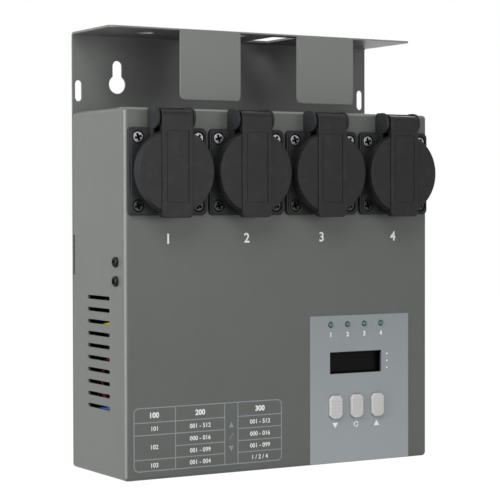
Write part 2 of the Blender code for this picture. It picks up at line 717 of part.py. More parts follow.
def pin_hole():
    """The hole along the hinge axis, about the panel's face at the socket's middle."""
    half = EAR_OUTER + BEYOND
    return block(circle(PIN_HOLE, SMALL_SIDES, (-HINGE_PROUD, HINGE_RISE)), -half, half, "right")


def ear_leg(low, high):
    """The rib that runs down from an ear over the flange to the collar."""
    depth = HINGE_PROUD - FIT
    rise = (COLLAR_RADIUS / 2, SOCKET_FLANGE / 2 + OVERLAP)
    return block(span((-depth, -SOCKET_FLANGE_THICKNESS + OVERLAP), rise), low, high, "right")


def countersink(spot):
    """The hole and countersink for one socket screw."""
    wide, narrow = SCREW_HEAD / 2 + FIT, SCREW_HOLE
    profile = [(narrow, -BEYOND), (narrow, SCREW_TOP - wide + narrow), (wide, SCREW_TOP), (wide, BEYOND)]
    return turned(profile, SMALL_SIDES, "front", middle=spot)


def cross_recess(face, top):
    return block(cross(CROSS_SPAN, CROSS_WIDTH), top - CROSS_DEPTH, top + BEYOND, face)


def socket_screw_mesh():
    """A countersunk screw about the panel's face, with its head level with the flange."""
    head, shank = SCREW_HEAD / 2, SCREW_SHANK / 2
    profile = [(shank, -SCREW_REACH), (shank, SCREW_TOP - head + shank), (head, SCREW_TOP)]
    return shaped(turned(profile, SMALL_SIDES, "front"), cut=[cross_recess("front", SCREW_TOP)])


def pan_screw_mesh():
    """A pan-head screw about the case wall's outer face, on the left side."""
    head, shank = PAN_HEAD / 2, SCREW_SHANK / 2
    profile = [
        (shank, -PAN_REACH),
        (shank, FIT),
        (head, FIT),
        (head, PAN_HEIGHT / 2),
        (head * 0.82, PAN_HEIGHT),
        (head * 0.5, PAN_HEIGHT + FIT),
    ]
    return shaped(turned(profile, SMALL_SIDES, "left"), cut=[cross_recess("left", PAN_HEIGHT + FIT)])


def lid_block_outline():
    """The strap's upper end and the knuckle round the pin, seen from the right side."""
    axis = (-HINGE_PROUD, HINGE_RISE)
    rear = STRAP_THICKNESS - STRAP_FRONT
    top = (STRAP_TOP_RADIUS - STRAP_FRONT, HINGE_RISE + KNUCKLE_RADIUS - STRAP_TOP_RADIUS)
    knuckle = arc(axis, KNUCKLE_RADIUS, -90, 90, ROUND_SIDES // 2)
    foot = LID_RADIUS - 2 * LID_THICKNESS
    front = [(-STRAP_FRONT, foot), (-LID_FACE + OVERLAP, foot)]
    behind = [(rear, LID_RADIUS), (rear, HINGE_RISE - KNUCKLE_RADIUS)]
    return front + behind + knuckle + arc(top, STRAP_TOP_RADIUS, 90, 180, 2 * CORNER_STEPS)


def pocket_outline():
    """The room for the spring inside the strap's upper end, open to the rear, seen from the right side."""
    foot = LID_RADIUS - LID_THICKNESS
    front, rear = -HINGE_PROUD - POCKET_RADIUS, BEYOND
    over_pin = arc((-HINGE_PROUD, HINGE_RISE), POCKET_RADIUS, 0, 180, ROUND_SIDES // 2)
    return [(front, foot), (rear, foot), (rear, HINGE_RISE), *over_pin]


def lid_mesh():
    """A round lid with its strap, about its hinge axis."""
    skirt = COLLAR_RISE - LID_SKIRT
    rim = arc((LID_RADIUS - LID_EDGE, LID_FACE - LID_EDGE), LID_EDGE, 0, 90, 2)
    disc = turned([(LID_RADIUS, skirt), *rim], FINE_SIDES, "front")
    width, inset = STRAP_WIDTH, 2 * STRAP_EDGE
    top = HINGE_RISE - KNUCKLE_RADIUS
    height = STRAP_BELOW + top
    middle = (0, (top - STRAP_BELOW) / 2)
    strap = stack(
        [
            (rounded(width, height, STRAP_CORNER, middle), LID_FACE - OVERLAP),
            (rounded(width, height, STRAP_CORNER, middle), STRAP_FRONT - STRAP_EDGE),
            (rounded(width - inset, height - inset, STRAP_CORNER - STRAP_EDGE, middle), STRAP_FRONT),
        ],
        "front",
    )
    lip_height = STRAP_BELOW - LID_RADIUS + 2 * STRAP_CORNER
    lip_outline = rounded(width, lip_height, STRAP_CORNER - FIT, (0, lip_height / 2 - STRAP_BELOW))
    lip = block(lip_outline, skirt, LID_FACE, "front")
    joined = [strap, lip, block(lid_block_outline(), -STRAP_WIDTH / 2, STRAP_WIDTH / 2, "right")]
    half = SPRING_POCKET / 2
    plate = rectangle(PLATE_WIDTH, PLATE_ABOVE + PLATE_BELOW, (0, (PLATE_ABOVE - PLATE_BELOW) / 2))
    cut = [
        block(circle(COLLAR_RADIUS + FIT, FINE_SIDES), -BEYOND, COLLAR_RISE + FIT, "front"),
        pin_hole(),
        block(pocket_outline(), -half, half, "right"),
        block(plate, STRAP_FRONT - PLATE_DEPTH, STRAP_FRONT + BEYOND, "front"),
    ]
    mesh = shaped(disc, joined, cut)
    mesh.transform(Matrix.Translation((0, HINGE_PROUD, -HINGE_RISE)))
    return mesh


def least_gap(points, apart, diameter):
    """The least gap between stretches of a tube that lie at least so many points apart along it."""
    pairs = [(first, second) for i, first in enumerate(points) for second in points[i + apart :]]
    return min((second - first).length for first, second in pairs) - diameter


def spring_curve():
    """A torsion spring about the hinge axis: a helix with a leg on the lid and one on the flange."""
    length = SPRING_TURNS * SPRING_PITCH
    points = [Vector((-length / 2, -SPRING_RADIUS, -SPRING_FRONT_LEG))]
    steps = SPRING_TURNS * SPRING_STEPS + SPRING_STEPS // 2
    for step in range(steps + 1):
        turn = 2 * math.pi * (SPRING_TURNS + 0.5) * step / steps
        along = -length / 2 + length * step / steps
        points.append(Vector((along, -SPRING_RADIUS * math.cos(turn), SPRING_RADIUS * math.sin(turn))))
    points.append(Vector((length / 2, SPRING_RADIUS, -SPRING_REAR_LEG)))
    gap = least_gap(points, SPRING_STEPS // 2, SPRING_WIRE)
    print(f"Lid spring: least gap to itself {gap / MM:.2f} mm")
    curve = bpy.data.curves.new("lid_spring", "CURVE")
    curve.dimensions = "3D"
    spline = curve.splines.new("POLY")
    spline.points.add(len(points) - 1)
    for point, place_of in zip(spline.points, points):
        point.co = (*place_of, 1)
    curve.bevel_depth = SPRING_WIRE / 2
    curve.bevel_resolution = 1
    curve.use_fill_caps = True
    return curve


def make_sockets(parent, finishes):
    """Four sockets, each with its screws, lid, pin and spring."""
    body, screw, lid, spring = socket_mesh(), socket_screw_mesh(), lid_mesh(), spring_curve()
    pin = block(circle(PIN_DIAMETER / 2, SMALL_SIDES), FIT - EAR_OUTER, EAR_OUTER - FIT, "right")
    hinge = (0, -HINGE_PROUD, HINGE_RISE)
    for number, x in enumerate(socket_places(), start=1):
        name = f"socket_{number}"
        origin = frame(name, (x, FRONT, SOCKET_HEIGHT), parent)
        place(f"{name}_body", body, finishes["black_plastic"], origin)
        for corner, (dx, dz) in screw_places().items():
            place(f"{name}_screw_{corner}", screw, finishes["bright_steel"], origin, (dx, 0, dz))
        axis = frame(f"{name}_hinge_axis", hinge, origin)
        place(f"{name}_lid", lid, finishes["lid_plastic"], axis)
        place(f"{name}_hinge_pin", pin, finishes["bright_steel"], axis)
        place(f"{name}_lid_spring", spring, finishes["bright_steel"], axis)


def make_side_screws(parent, finish):
    screw = pan_screw_mesh()
    for level, (back, height) in pan_screw_places().items():
        place(f"side_screw_{level}", screw, finish, parent, (-SIDE, FRONT + back, height))


def make_label(parent, finish):
    """The film over the control panel, with its openings."""
    middle = (LABEL_MIDDLE, LABEL_FROM_BOTTOM + LABEL_HEIGHT / 2)
    outline = rounded(LABEL_WIDTH, LABEL_HEIGHT, LABEL_CORNER, middle)
    film = block(outline, ADHESIVE, PANEL_SKIN, "front")
    cut = [block(hole, -BEYOND, BEYOND, "front") for hole in panel_openings(FIT)]
    place("control_label_film", shaped(film, cut=cut), finish, parent, (0, FRONT, 0))


def make_lamps(parent, finish):
    """Channel lamps that stand on the control board and show through the panel."""
    radius, top, foot = LAMP_DIAMETER / 2, PANEL_SKIN + LAMP_PROUD, FIT - CONTROL_BOARD_FACE
    shoulder = top - radius * 0.75
    profile = [
        (radius + LAMP_FLANGE, foot),
        (radius + LAMP_FLANGE, foot + 1 * MM),
        (radius, foot + 1 * MM + FIT),
        (radius, shoulder),
        (radius * 0.86, top - radius * 0.36),
        (radius * 0.5, top - radius * 0.09),
        (radius * 0.15, top),
    ]
    lamp = turned(profile, SMALL_SIDES, "front")
    for number, (x, z) in enumerate(lamp_places(), start=1):
        place(f"channel_{number}_lamp", lamp, finish, parent, (x, FRONT, z))


def key_mesh():
    """A push key about the panel's face: a ribbed cap, a rim behind the panel and a stem over its switch."""
    top = KEY_PROUD + PANEL_SKIN
    rim_face = -SHEET - FIT
    stem_end = SWITCH_HEIGHT + KEY_TRAVEL + FIT - CONTROL_BOARD_FACE
    cap = stack(
        [
            (chamfered(*KEY, KEY_CHAMFER), rim_face - OVERLAP),
            (chamfered(*KEY, KEY_CHAMFER), top - KEY_EDGE),
            (chamfered(KEY[0] - 2 * KEY_EDGE, KEY[1] - 2 * KEY_EDGE, KEY_CHAMFER - KEY_EDGE / 2), top),
        ],
        "front",
    )
    rim = chamfered(KEY[0] + 2 * KEY_RIM, KEY[1] + 2 * KEY_RIM, KEY_CHAMFER)
    joined = [
        block(rim, rim_face - KEY_RIM_THICKNESS, rim_face, "front"),
        block(circle(KEY_STEM / 2, SMALL_SIDES), stem_end, rim_face - OVERLAP, "front"),
    ]
    pitch = (KEY[1] - 2 * KEY_CHAMFER) / KEY_GROOVES
    rows = [pitch * (row - (KEY_GROOVES - 1) / 2) for row in range(KEY_GROOVES)]
    floor = top - KEY_EDGE / 2
    cut = [block(rectangle(KEY[0], KEY_GROOVE, (0, z)), floor, top + BEYOND, "front") for z in rows]
    return shaped(cap, joined, cut)


def make_keys(parent, finish):
    key = key_mesh()
    for name, (x, z) in key_places().items():
        place(f"key_{name}", key, finish, parent, (x, FRONT, z))


def make_display(parent, finish):
    """The display module between the window and the control board."""
    size = (WINDOW[0] + 2 * DISPLAY_BORDER, WINDOW[1] + 2 * DISPLAY_BORDER)
    module = block(rectangle(*size), FIT - CONTROL_BOARD_FACE, -DISPLAY_RECESS, "front")
    place("display_module", module, finish, parent, (CONTROLS_MIDDLE, FRONT, WINDOW_HEIGHT))


def make_control_board(parent, finish):
    """The board behind the panel, with the switches under its keys and a plug on its back."""
    face = -CONTROL_BOARD_FACE
    board = block(rectangle(*control_board_size(), control_board_middle()), face - BOARD, face, "front")
    joined = [
        block(rectangle(SWITCH_SIZE, SWITCH_SIZE, spot), face - OVERLAP, face + SWITCH_HEIGHT, "front")
        for spot in key_places().values()
    ]
    plug = rectangle(4 * SWITCH_SIZE, SWITCH_SIZE, (CONTROLS_MIDDLE, control_board_middle()[1]))
    joined.append(block(plug, face - BOARD - 2 * SWITCH_HEIGHT, face - OVERLAP, "front"))
    place("control_board", shaped(board, joined), finish, parent, (0, FRONT, 0))


def relay_board_mesh():
    """The board on the wall plate with its terminal block and capacitors, about the plate's front."""
    middle = relay_board_middle()
    left, bottom = relay_board_corner()
    board = block(rectangle(*RELAY_BOARD, middle), RELAY_STANDOFF + FIT, RELAY_BOARD_FACE, "front")
    seat = RELAY_BOARD_FACE - OVERLAP
    top = seat + TERMINAL_BLOCK[2]
    row = bottom + RELAY_BOARD[1] - TERMINAL_BLOCK[1] / 2 - FIT
    joined = [block(rectangle(*TERMINAL_BLOCK[:2], (middle[0], row)), seat, top, "front")]
    for x, z in CAPACITORS:
        outline = circle(CAPACITOR[0] / 2, ROUND_SIDES, (left + x, bottom + z))
        joined.append(block(outline, seat, seat + CAPACITOR[1], "front"))
    way = TERMINAL_BLOCK[0] / TERMINAL_WAYS
    ways = [middle[0] + way * (number - (TERMINAL_WAYS - 1) / 2) for number in range(TERMINAL_WAYS)]
    cut = [block(rectangle(way / 2, way / 2, (x, row)), top - way / 2, top + BEYOND, "front") for x in ways]
    return shaped(board, joined, cut)


def relay_mesh(seat):
    """A boxed relay with softened top edges."""
    width, height, depth = RELAY
    foot = rounded(width, height, RELAY_CORNER, steps=1)
    crown = rounded(width - RELAY_CORNER, height - RELAY_CORNER, RELAY_CORNER, steps=1)
    return stack([(foot, seat), (foot, seat + depth - RELAY_CORNER), (crown, seat + depth)], "front")


def transformer_mesh(seat):
    """A coil block with its core standing out at both sides."""
    width, height, depth = TRANSFORMER
    coil = block(rounded(width, height, 2 * RELAY_CORNER), seat, seat + depth, "front")
    core = rectangle(width + TRANSFORMER_CORE, height - TRANSFORMER_CORE)
    return shaped(coil, [block(core, seat, seat + depth - TRANSFORMER_CORE / 4, "front")])


def make_relay_board(parent, finishes):
    """The board on the wall plate, its relays and its transformer."""
    place("relay_board", relay_board_mesh(), finishes["board"], parent, (0, PLATE_FRONT, 0))
    seat = RELAY_BOARD_FACE + FIT
    relay = relay_mesh(seat)
    left, bottom = relay_board_corner()
    for number in range(SOCKET_COUNT):
        spot = (left + RELAY_ROW_INSET + RELAY_PITCH * number, PLATE_FRONT, bottom + RELAY_ROW_HEIGHT)
        place(f"relay_{number + 1}", relay, finishes["relay"], parent, spot)
    spot = (left + TRANSFORMER_AT[0], PLATE_FRONT, bottom + TRANSFORMER_AT[1])
    place("supply_transformer", transformer_mesh(seat), finishes["transformer"], parent, spot)


def fitting_place(height):
    """The middle of a fitting on the right side's outer face."""
    return (SIDE, FITTINGS_BEHIND_MIDDLE, height)


def connector_mesh():
    """Flange and open shell of a panel connector, about the case wall's outer face."""
    flange = block(rounded(*CONNECTOR_FLANGE, CONNECTOR_CORNER), FIT, CONNECTOR_FACE, "right")
    shell = block(circle(CONNECTOR_SHELL, FINE_SIDES), -CONNECTOR_DEPTH, FIT + OVERLAP, "right")
    mouth = block(circle(CONNECTOR_BORE, FINE_SIDES), CONNECTOR_FLOOR, CONNECTOR_FACE + BEYOND, "right")
    return shaped(flange, [shell], [mouth])


def pin_outlines(radius):
    """The connectors' three contacts, seen from the right side."""
    spots = circle(CONNECTOR_PIN_CIRCLE, 3)
    return [circle(radius, SMALL_SIDES, (-across, along)) for along, across in spots]


def make_signal_connectors(parent, finishes):
    """The male inlet, the female outlet and the outlet's release latch, on the right side."""
    low, tip = CONNECTOR_FLOOR - OVERLAP, CONNECTOR_FLOOR + CONNECTOR_PIN_LENGTH
    pins = [block(outline, low, tip, "right") for outline in pin_outlines(CONNECTOR_PIN / 2)]
    inlet = shaped(connector_mesh(), pins)
    place("signal_inlet", inlet, finishes["black_plastic"], parent, fitting_place(INLET_HEIGHT))
    insert = block(circle(INSERT_RADIUS, FINE_SIDES), low, CONNECTOR_FACE - OVERLAP, "right")
    slot = rectangle(LATCH[0] + 2 * FIT, LATCH[1] + 2 * FIT, (0, LATCH_OFFSET))
    cut = [block(slot, CONNECTOR_FLOOR, CONNECTOR_FACE + BEYOND, "right")]
    for outline in pin_outlines(CONNECTOR_PIN / 2 + FIT):
        cut.append(block(outline, CONNECTOR_FLOOR + OVERLAP, CONNECTOR_FACE + BEYOND, "right"))
    outlet = shaped(connector_mesh(), [insert], cut)
    place("signal_outlet", outlet, finishes["black_plastic"], parent, fitting_place(OUTLET_HEIGHT))
    foot = CONNECTOR_FLOOR + LATCH_TRAVEL + FIT
    latch = block(rectangle(*LATCH), foot, CONNECTOR_FACE + LATCH_PROUD, "right")
    spot = fitting_place(OUTLET_HEIGHT + LATCH_OFFSET)
    place("outlet_latch", latch, finishes["bright_steel"], parent, spot)


def make_breaker(parent, finishes):
    """The circuit breaker, held by its ring nut, and its reset button."""
    rear, neck_end = -SHEET - FIT, BREAKER_NECK_LENGTH
    body = block(rectangle(*BREAKER_BODY[:2]), rear - BREAKER_BODY[2], rear, "right")
    neck = block(circle(BREAKER_NECK / 2, ROUND_SIDES), rear - OVERLAP, neck_end, "right")
    nut = block(hexagon(BREAKER_NUT), FIT, FIT + BREAKER_NUT_THICKNESS, "right")
    radius, foot = BREAKER_BUTTON / 2, neck_end - BREAKER_BUTTON_DEPTH
    bore = block(circle(radius + FIT, ROUND_SIDES), foot - BREAKER_TRAVEL - FIT, neck_end + BEYOND, "right")
    spot = fitting_place(BREAKER_HEIGHT)
    place("breaker_body", shaped(body, [neck, nut], [bore]), finishes["black_plastic"], parent, spot)
    top = neck_end + BREAKER_BUTTON_PROUD
    button = turned([(radius, foot), (radius, top - FIT), (radius - FIT, top)], ROUND_SIDES, "right")
    place("breaker_button", button, finishes["key"], parent, spot)


def make_gland(parent, finish):
    """The cable gland, locked from inside, and its cap. No cable is in it."""
    rear = -SHEET - FIT
    hex_top = FIT + GLAND_HEX_THICKNESS
    collet_end = hex_top + GLAND_COLLET_LENGTH
    spot = fitting_place(GLAND_HEIGHT)
    body = block(hexagon(GLAND_HEX), FIT, hex_top, "right")
    joined = [
        block(circle(GLAND_THREAD / 2, ROUND_SIDES), -GLAND_THREAD_REACH, FIT + OVERLAP, "right"),
        block(hexagon(GLAND_HEX), rear - GLAND_LOCKNUT_THICKNESS, rear, "right"),
        block(circle(GLAND_COLLET / 2, ROUND_SIDES), hex_top - OVERLAP, collet_end, "right"),
    ]
    inner_end = -GLAND_THREAD_REACH - BEYOND
    bore = block(circle(GLAND_BORE / 2, ROUND_SIDES), inner_end, collet_end + BEYOND, "right")
    place("gland_body", shaped(body, joined, [bore]), finish, parent, spot)
    foot, tip = hex_top + FIT, hex_top + FIT + GLAND_CAP_LENGTH
    shoulder = foot + GLAND_CAP_STRAIGHT
    # The dome stays inside the flats, so that the two never share a line.
    wide, narrow = GLAND_HEX / 2 - FIT, GLAND_CAP_TIP / 2
    middle = ((wide + narrow) / 2 + FIT, (shoulder + tip) / 2)
    dome = turned([(wide, foot), (wide, shoulder), middle, (narrow, tip)], ROUND_SIDES, "right")
    grip = block(hexagon(GLAND_HEX), foot, shoulder - FIT, "right")
    chamber, mouth = GLAND_COLLET / 2 + FIT, GLAND_BORE / 2
    inside = [
        (chamber, foot - BEYOND),
        (chamber, collet_end + FIT),
        (mouth, tip - FIT),
        (mouth, tip + BEYOND),
    ]
    place("gland_cap", shaped(dome, [grip], [turned(inside, ROUND_SIDES, "right")]), finish, parent, spot)


def make_finishes():
    return {
        "steel": material("powder_coated_steel", (0.130, 0.136, 0.130), 0.55, 0.1),
        "black_plastic": material("black_plastic", (0.020, 0.021, 0.023), 0.5),
        "lid_plastic": material("lid_plastic", (0.036, 0.036, 0.037), 0.45),
        "bright_steel": material("bright_steel", (0.55, 0.55, 0.54), 0.3, 1.0),
        "black_steel": material("black_steel", (0.02, 0.02, 0.02), 0.35, 0.8),
        "label": material("label_film", (0.27, 0.29, 0.31), 0.4),
        "lamp": material("green_lens", (0.03, 0.16, 0.08), 0.2),
        "key": material("light_key", (0.60, 0.58, 0.55), 0.5),
        "display": material("display_glass", (0.008, 0.008, 0.009), 0.15),
        "board": material("circuit_board", (0.02, 0.12, 0.05), 0.45),
        "relay": material("relay_case", (0.03, 0.10, 0.30), 0.4),
        "transformer": material("transformer", (0.45, 0.34, 0.05), 0.5),
    }


def main():
    clear_scene()
    finishes = make_finishes()
    pack = frame("switch_pack", (0, 0, 0))
    make_chassis(pack, finishes["steel"])
    make_cover(pack, finishes["steel"])
    make_sockets(pack, finishes)
    make_side_screws(pack, finishes["black_steel"])
    make_label(pack, finishes["label"])
    make_lamps(pack, finishes["lamp"])
    make_keys(pack, finishes["key"])
    make_display(pack, finishes["display"])
    make_control_board(pack, finishes["board"])
    make_relay_board(pack, finishes)
    make_signal_connectors(pack, finishes)
    make_breaker(pack, finishes)
    make_gland(pack, finishes["black_plastic"])


main()
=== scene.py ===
"""The finished look of a four-channel DMX switch pack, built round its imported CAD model.

Metres, +Z up, front towards -Y, +X to the right. The origin is the middle of the bottom face.
Each face of the case has its own frame: its sizes run to the right, up and outwards as that face is seen.
"""

import json
import logging
import math
from dataclasses import dataclass, field
from enum import Enum
from typing import Any, Iterable, Sequence

import bmesh
import bpy
from mathutils import Matrix, Vector

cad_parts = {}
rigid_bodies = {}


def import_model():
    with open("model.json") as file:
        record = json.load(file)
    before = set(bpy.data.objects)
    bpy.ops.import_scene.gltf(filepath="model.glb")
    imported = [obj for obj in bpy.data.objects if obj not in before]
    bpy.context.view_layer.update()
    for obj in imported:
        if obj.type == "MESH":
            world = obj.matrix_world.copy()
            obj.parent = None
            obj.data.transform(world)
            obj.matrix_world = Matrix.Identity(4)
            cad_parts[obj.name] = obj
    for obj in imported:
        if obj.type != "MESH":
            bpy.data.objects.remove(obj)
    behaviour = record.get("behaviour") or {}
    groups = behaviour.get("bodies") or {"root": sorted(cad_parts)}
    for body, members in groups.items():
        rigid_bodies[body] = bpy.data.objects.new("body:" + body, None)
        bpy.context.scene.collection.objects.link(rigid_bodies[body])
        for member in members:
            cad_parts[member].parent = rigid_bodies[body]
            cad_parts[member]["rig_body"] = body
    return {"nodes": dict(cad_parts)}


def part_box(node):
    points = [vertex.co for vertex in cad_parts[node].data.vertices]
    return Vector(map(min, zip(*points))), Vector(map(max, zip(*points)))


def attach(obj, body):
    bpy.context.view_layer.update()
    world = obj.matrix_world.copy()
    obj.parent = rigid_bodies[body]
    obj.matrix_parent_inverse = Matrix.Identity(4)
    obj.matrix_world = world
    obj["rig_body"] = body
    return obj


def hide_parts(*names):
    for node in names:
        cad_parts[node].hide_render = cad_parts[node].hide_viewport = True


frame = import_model()

LOG = logging.getLogger("switch_pack")

MM = 0.001
FIT = 0.3 * MM
BEYOND = 5.0 * MM
ON_PAINT = 0.01 * MM
SMOOTH_ANGLE = 32.0
BEVEL_ANGLE = 50.0
SIDES = (-1, 1)
CORNERS = ((1, -1, -90), (1, 1, 0), (-1, 1, 90), (-1, -1, 180))

Point = tuple[float, float]
Place = tuple[float, float, float]
Colour = tuple[float, float, float]


def grey(level: float, tint: Colour = (0.0, 0.0, 0.0)) -> Colour:
    """A linear colour from an sRGB grey level of 0 to 255, with a tint added in the same scale."""
    return tuple(linear((level + part) / 255) for part in tint)


def linear(value: float) -> float:
    """The linear value of an sRGB value between 0 and 1."""
    return value / 12.92 if value <= 0.04045 else ((value + 0.055) / 1.055) ** 2.4


def scaled(colour: Colour, factor: float, lift: float = 0.0) -> Colour:
    """A colour times a factor, and lifted by a little."""
    return tuple(part * factor + lift for part in colour)


class Face(Enum):
    """The side of the case that a shape is drawn on, by its tilt about X and then its turn about Z."""

    TOP = (0, 0)
    FRONT = (90, 0)
    RIGHT = (90, 90)
    LEFT = (90, -90)

    @property
    def matrix(self) -> Matrix:
        """The turn from a face's own frame to the model's."""
        tilt, turn = (math.radians(angle) for angle in self.value)
        return Matrix.Rotation(turn, 4, "Z") @ Matrix.Rotation(tilt, 4, "X")


def arc(middle: Point, radius: float, start: float, end: float, steps: int) -> list[Point]:
    """Points on an arc, both ends included.

    Args:
        middle: The arc's centre.
        radius: Its radius.
        start: The first angle in degrees.
        end: The last angle in degrees.
        steps: How many chords it is made of.

    Returns:
        The points in order.
    """
    angles = [math.radians(start + (end - start) * step / steps) for step in range(steps + 1)]
    return [(middle[0] + radius * math.cos(a), middle[1] + radius * math.sin(a)) for a in angles]


def offsets(start: Point, *moves: Point) -> list[Point]:
    """Points given in millimetres from a start in metres."""
    return [(start[0] + across * MM, start[1] + up * MM) for across, up in moves]


def mm(*points: Point) -> list[Point]:
    """Points given in millimetres."""
    return offsets((0.0, 0.0), *points)


@dataclass(frozen=True)
class Outline:
    """A closed flat outline that runs anticlockwise."""

    points: tuple[Point, ...]

    @classmethod
    def of(cls, points: Iterable[Point]) -> "Outline":
        """An outline through these points."""
        return cls(tuple(points))

    @classmethod
    def circle(cls, radius: float, sides: int = 48) -> "Outline":
        """A circle about the middle."""
        return cls.of(arc((0, 0), radius, 0, 360, sides)[:-1])

    @classmethod
    def span(cls, across: Point, up: Point) -> "Outline":
        """The rectangle between two lower and two upper limits."""
        return cls.of([(across[0], up[0]), (across[1], up[0]), (across[1], up[1]), (across[0], up[1])])

    @classmethod
    def rounded(cls, width: float, height: float, radius: float, steps: int = 6) -> "Outline":
        """A rectangle with round corners about the middle."""
        corners = [(x * (width / 2 - radius), y * (height / 2 - radius), start) for x, y, start in CORNERS]
        return cls.of(p for x, y, start in corners for p in arc((x, y), radius, start, start + 90, steps))

    @classmethod
    def chamfered(cls, width: float, height: float, chamfer: float) -> "Outline":
        """A rectangle with its corners cut off."""
        return cls.rounded(width, height, chamfer, 1)

    @classmethod
    def hexagon(cls, flats: float, bow: float = 0.0) -> "Outline":
        """A hexagon by its width across flats, with its corners cut round by a little."""
        radius = flats / math.sqrt(3) - bow
        return cls.of(p for turn in range(0, 360, 60) for p in arc((0, 0), radius, turn - 3, turn + 3, 2))

    @classmethod
    def cross(cls, length: float, width: float) -> "Outline":
        """A cross with equal arms.

        Args:
            length: The length across both arms.
            width: The width of an arm.

        Returns:
            The outline.
        """
        arm = [(length / 2, -width / 2), (length / 2, width / 2), (width / 2, width / 2)]
        quarters = ((1, 0), (0, 1), (-1, 0), (0, -1))
        return cls.of((x * c - y * s, x * s + y * c) for c, s in quarters for x, y in arm)

    @classmethod
    def slot(cls, width: float, length: float, steps: int = 8) -> "Outline":
        """An upright slot with round ends."""
        half = (length - width) / 2
        return cls.of(arc((0, half), width / 2, 0, 180, steps) + arc((0, -half), width / 2, 180, 360, steps))

    @classmethod
    def corner_waste(cls, corner: Point, radius: float, right: int, up: int) -> "Outline":
        """What is cut off a corner to round it.

        Args:
            corner: The sharp corner.
            radius: The radius it gets.
            right: 1 or -1, pointing out of the corner.
            up: 1 or -1, pointing out of the corner.

        Returns:
            The outline of the waste.
        """
        middle = (corner[0] - right * radius, corner[1] - up * radius)
        far = (corner[0] + right * BEYOND, corner[1] + up * BEYOND)
        curve = [(middle[0] + right * x, middle[1] + up * y) for x, y in arc((0, 0), radius, 0, 90, 10)]
        return cls.of([*curve, (middle[0], far[1]), far, (far[0], middle[1])])

    def at(self, x: float, y: float) -> "Outline":
        """The same outline, moved."""
        return Outline(tuple((px + x, py + y) for px, py in self.points))

    def turned(self, degrees: float) -> "Outline":
        """The same outline, turned about the middle."""
        c, s = math.cos(math.radians(degrees)), math.sin(math.radians(degrees))
        return Outline(tuple((x * c - y * s, x * s + y * c) for x, y in self.points))

    def area(self) -> float:
        """The area inside, negative where the outline runs clockwise."""
        pairs = zip(self.points, self.points[1:] + self.points[:1])
        return sum(a[0] * b[1] - b[0] * a[1] for a, b in pairs) / 2

    def inset(self, distance: float) -> "Outline":
        """The outline moved inwards by one distance all round, with as many points.

        Args:
            distance: How far it moves.

        Returns:
            The new outline.
        """
        turn = 1 if self.area() > 0 else -1
        count = len(self.points)
        moved: list[Point] = []
        for i, here in enumerate(self.points):
            before = Vector(self.points[i - 1])
            after = Vector(self.points[(i + 1) % count])
            middle = Vector(here)
            first, second = (middle - before).normalized(), (after - middle).normalized()
            inward = Vector((-first.y - second.y, first.x + second.x)) * turn
            length = inward.length
            if length < 1e-9:
                moved.append(here)
                continue
            inward /= length
            share = max(0.35, inward.dot(Vector((-first.y, first.x)) * turn))
            moved.append(tuple(middle + inward * (distance / share)))
        return Outline(tuple(moved))


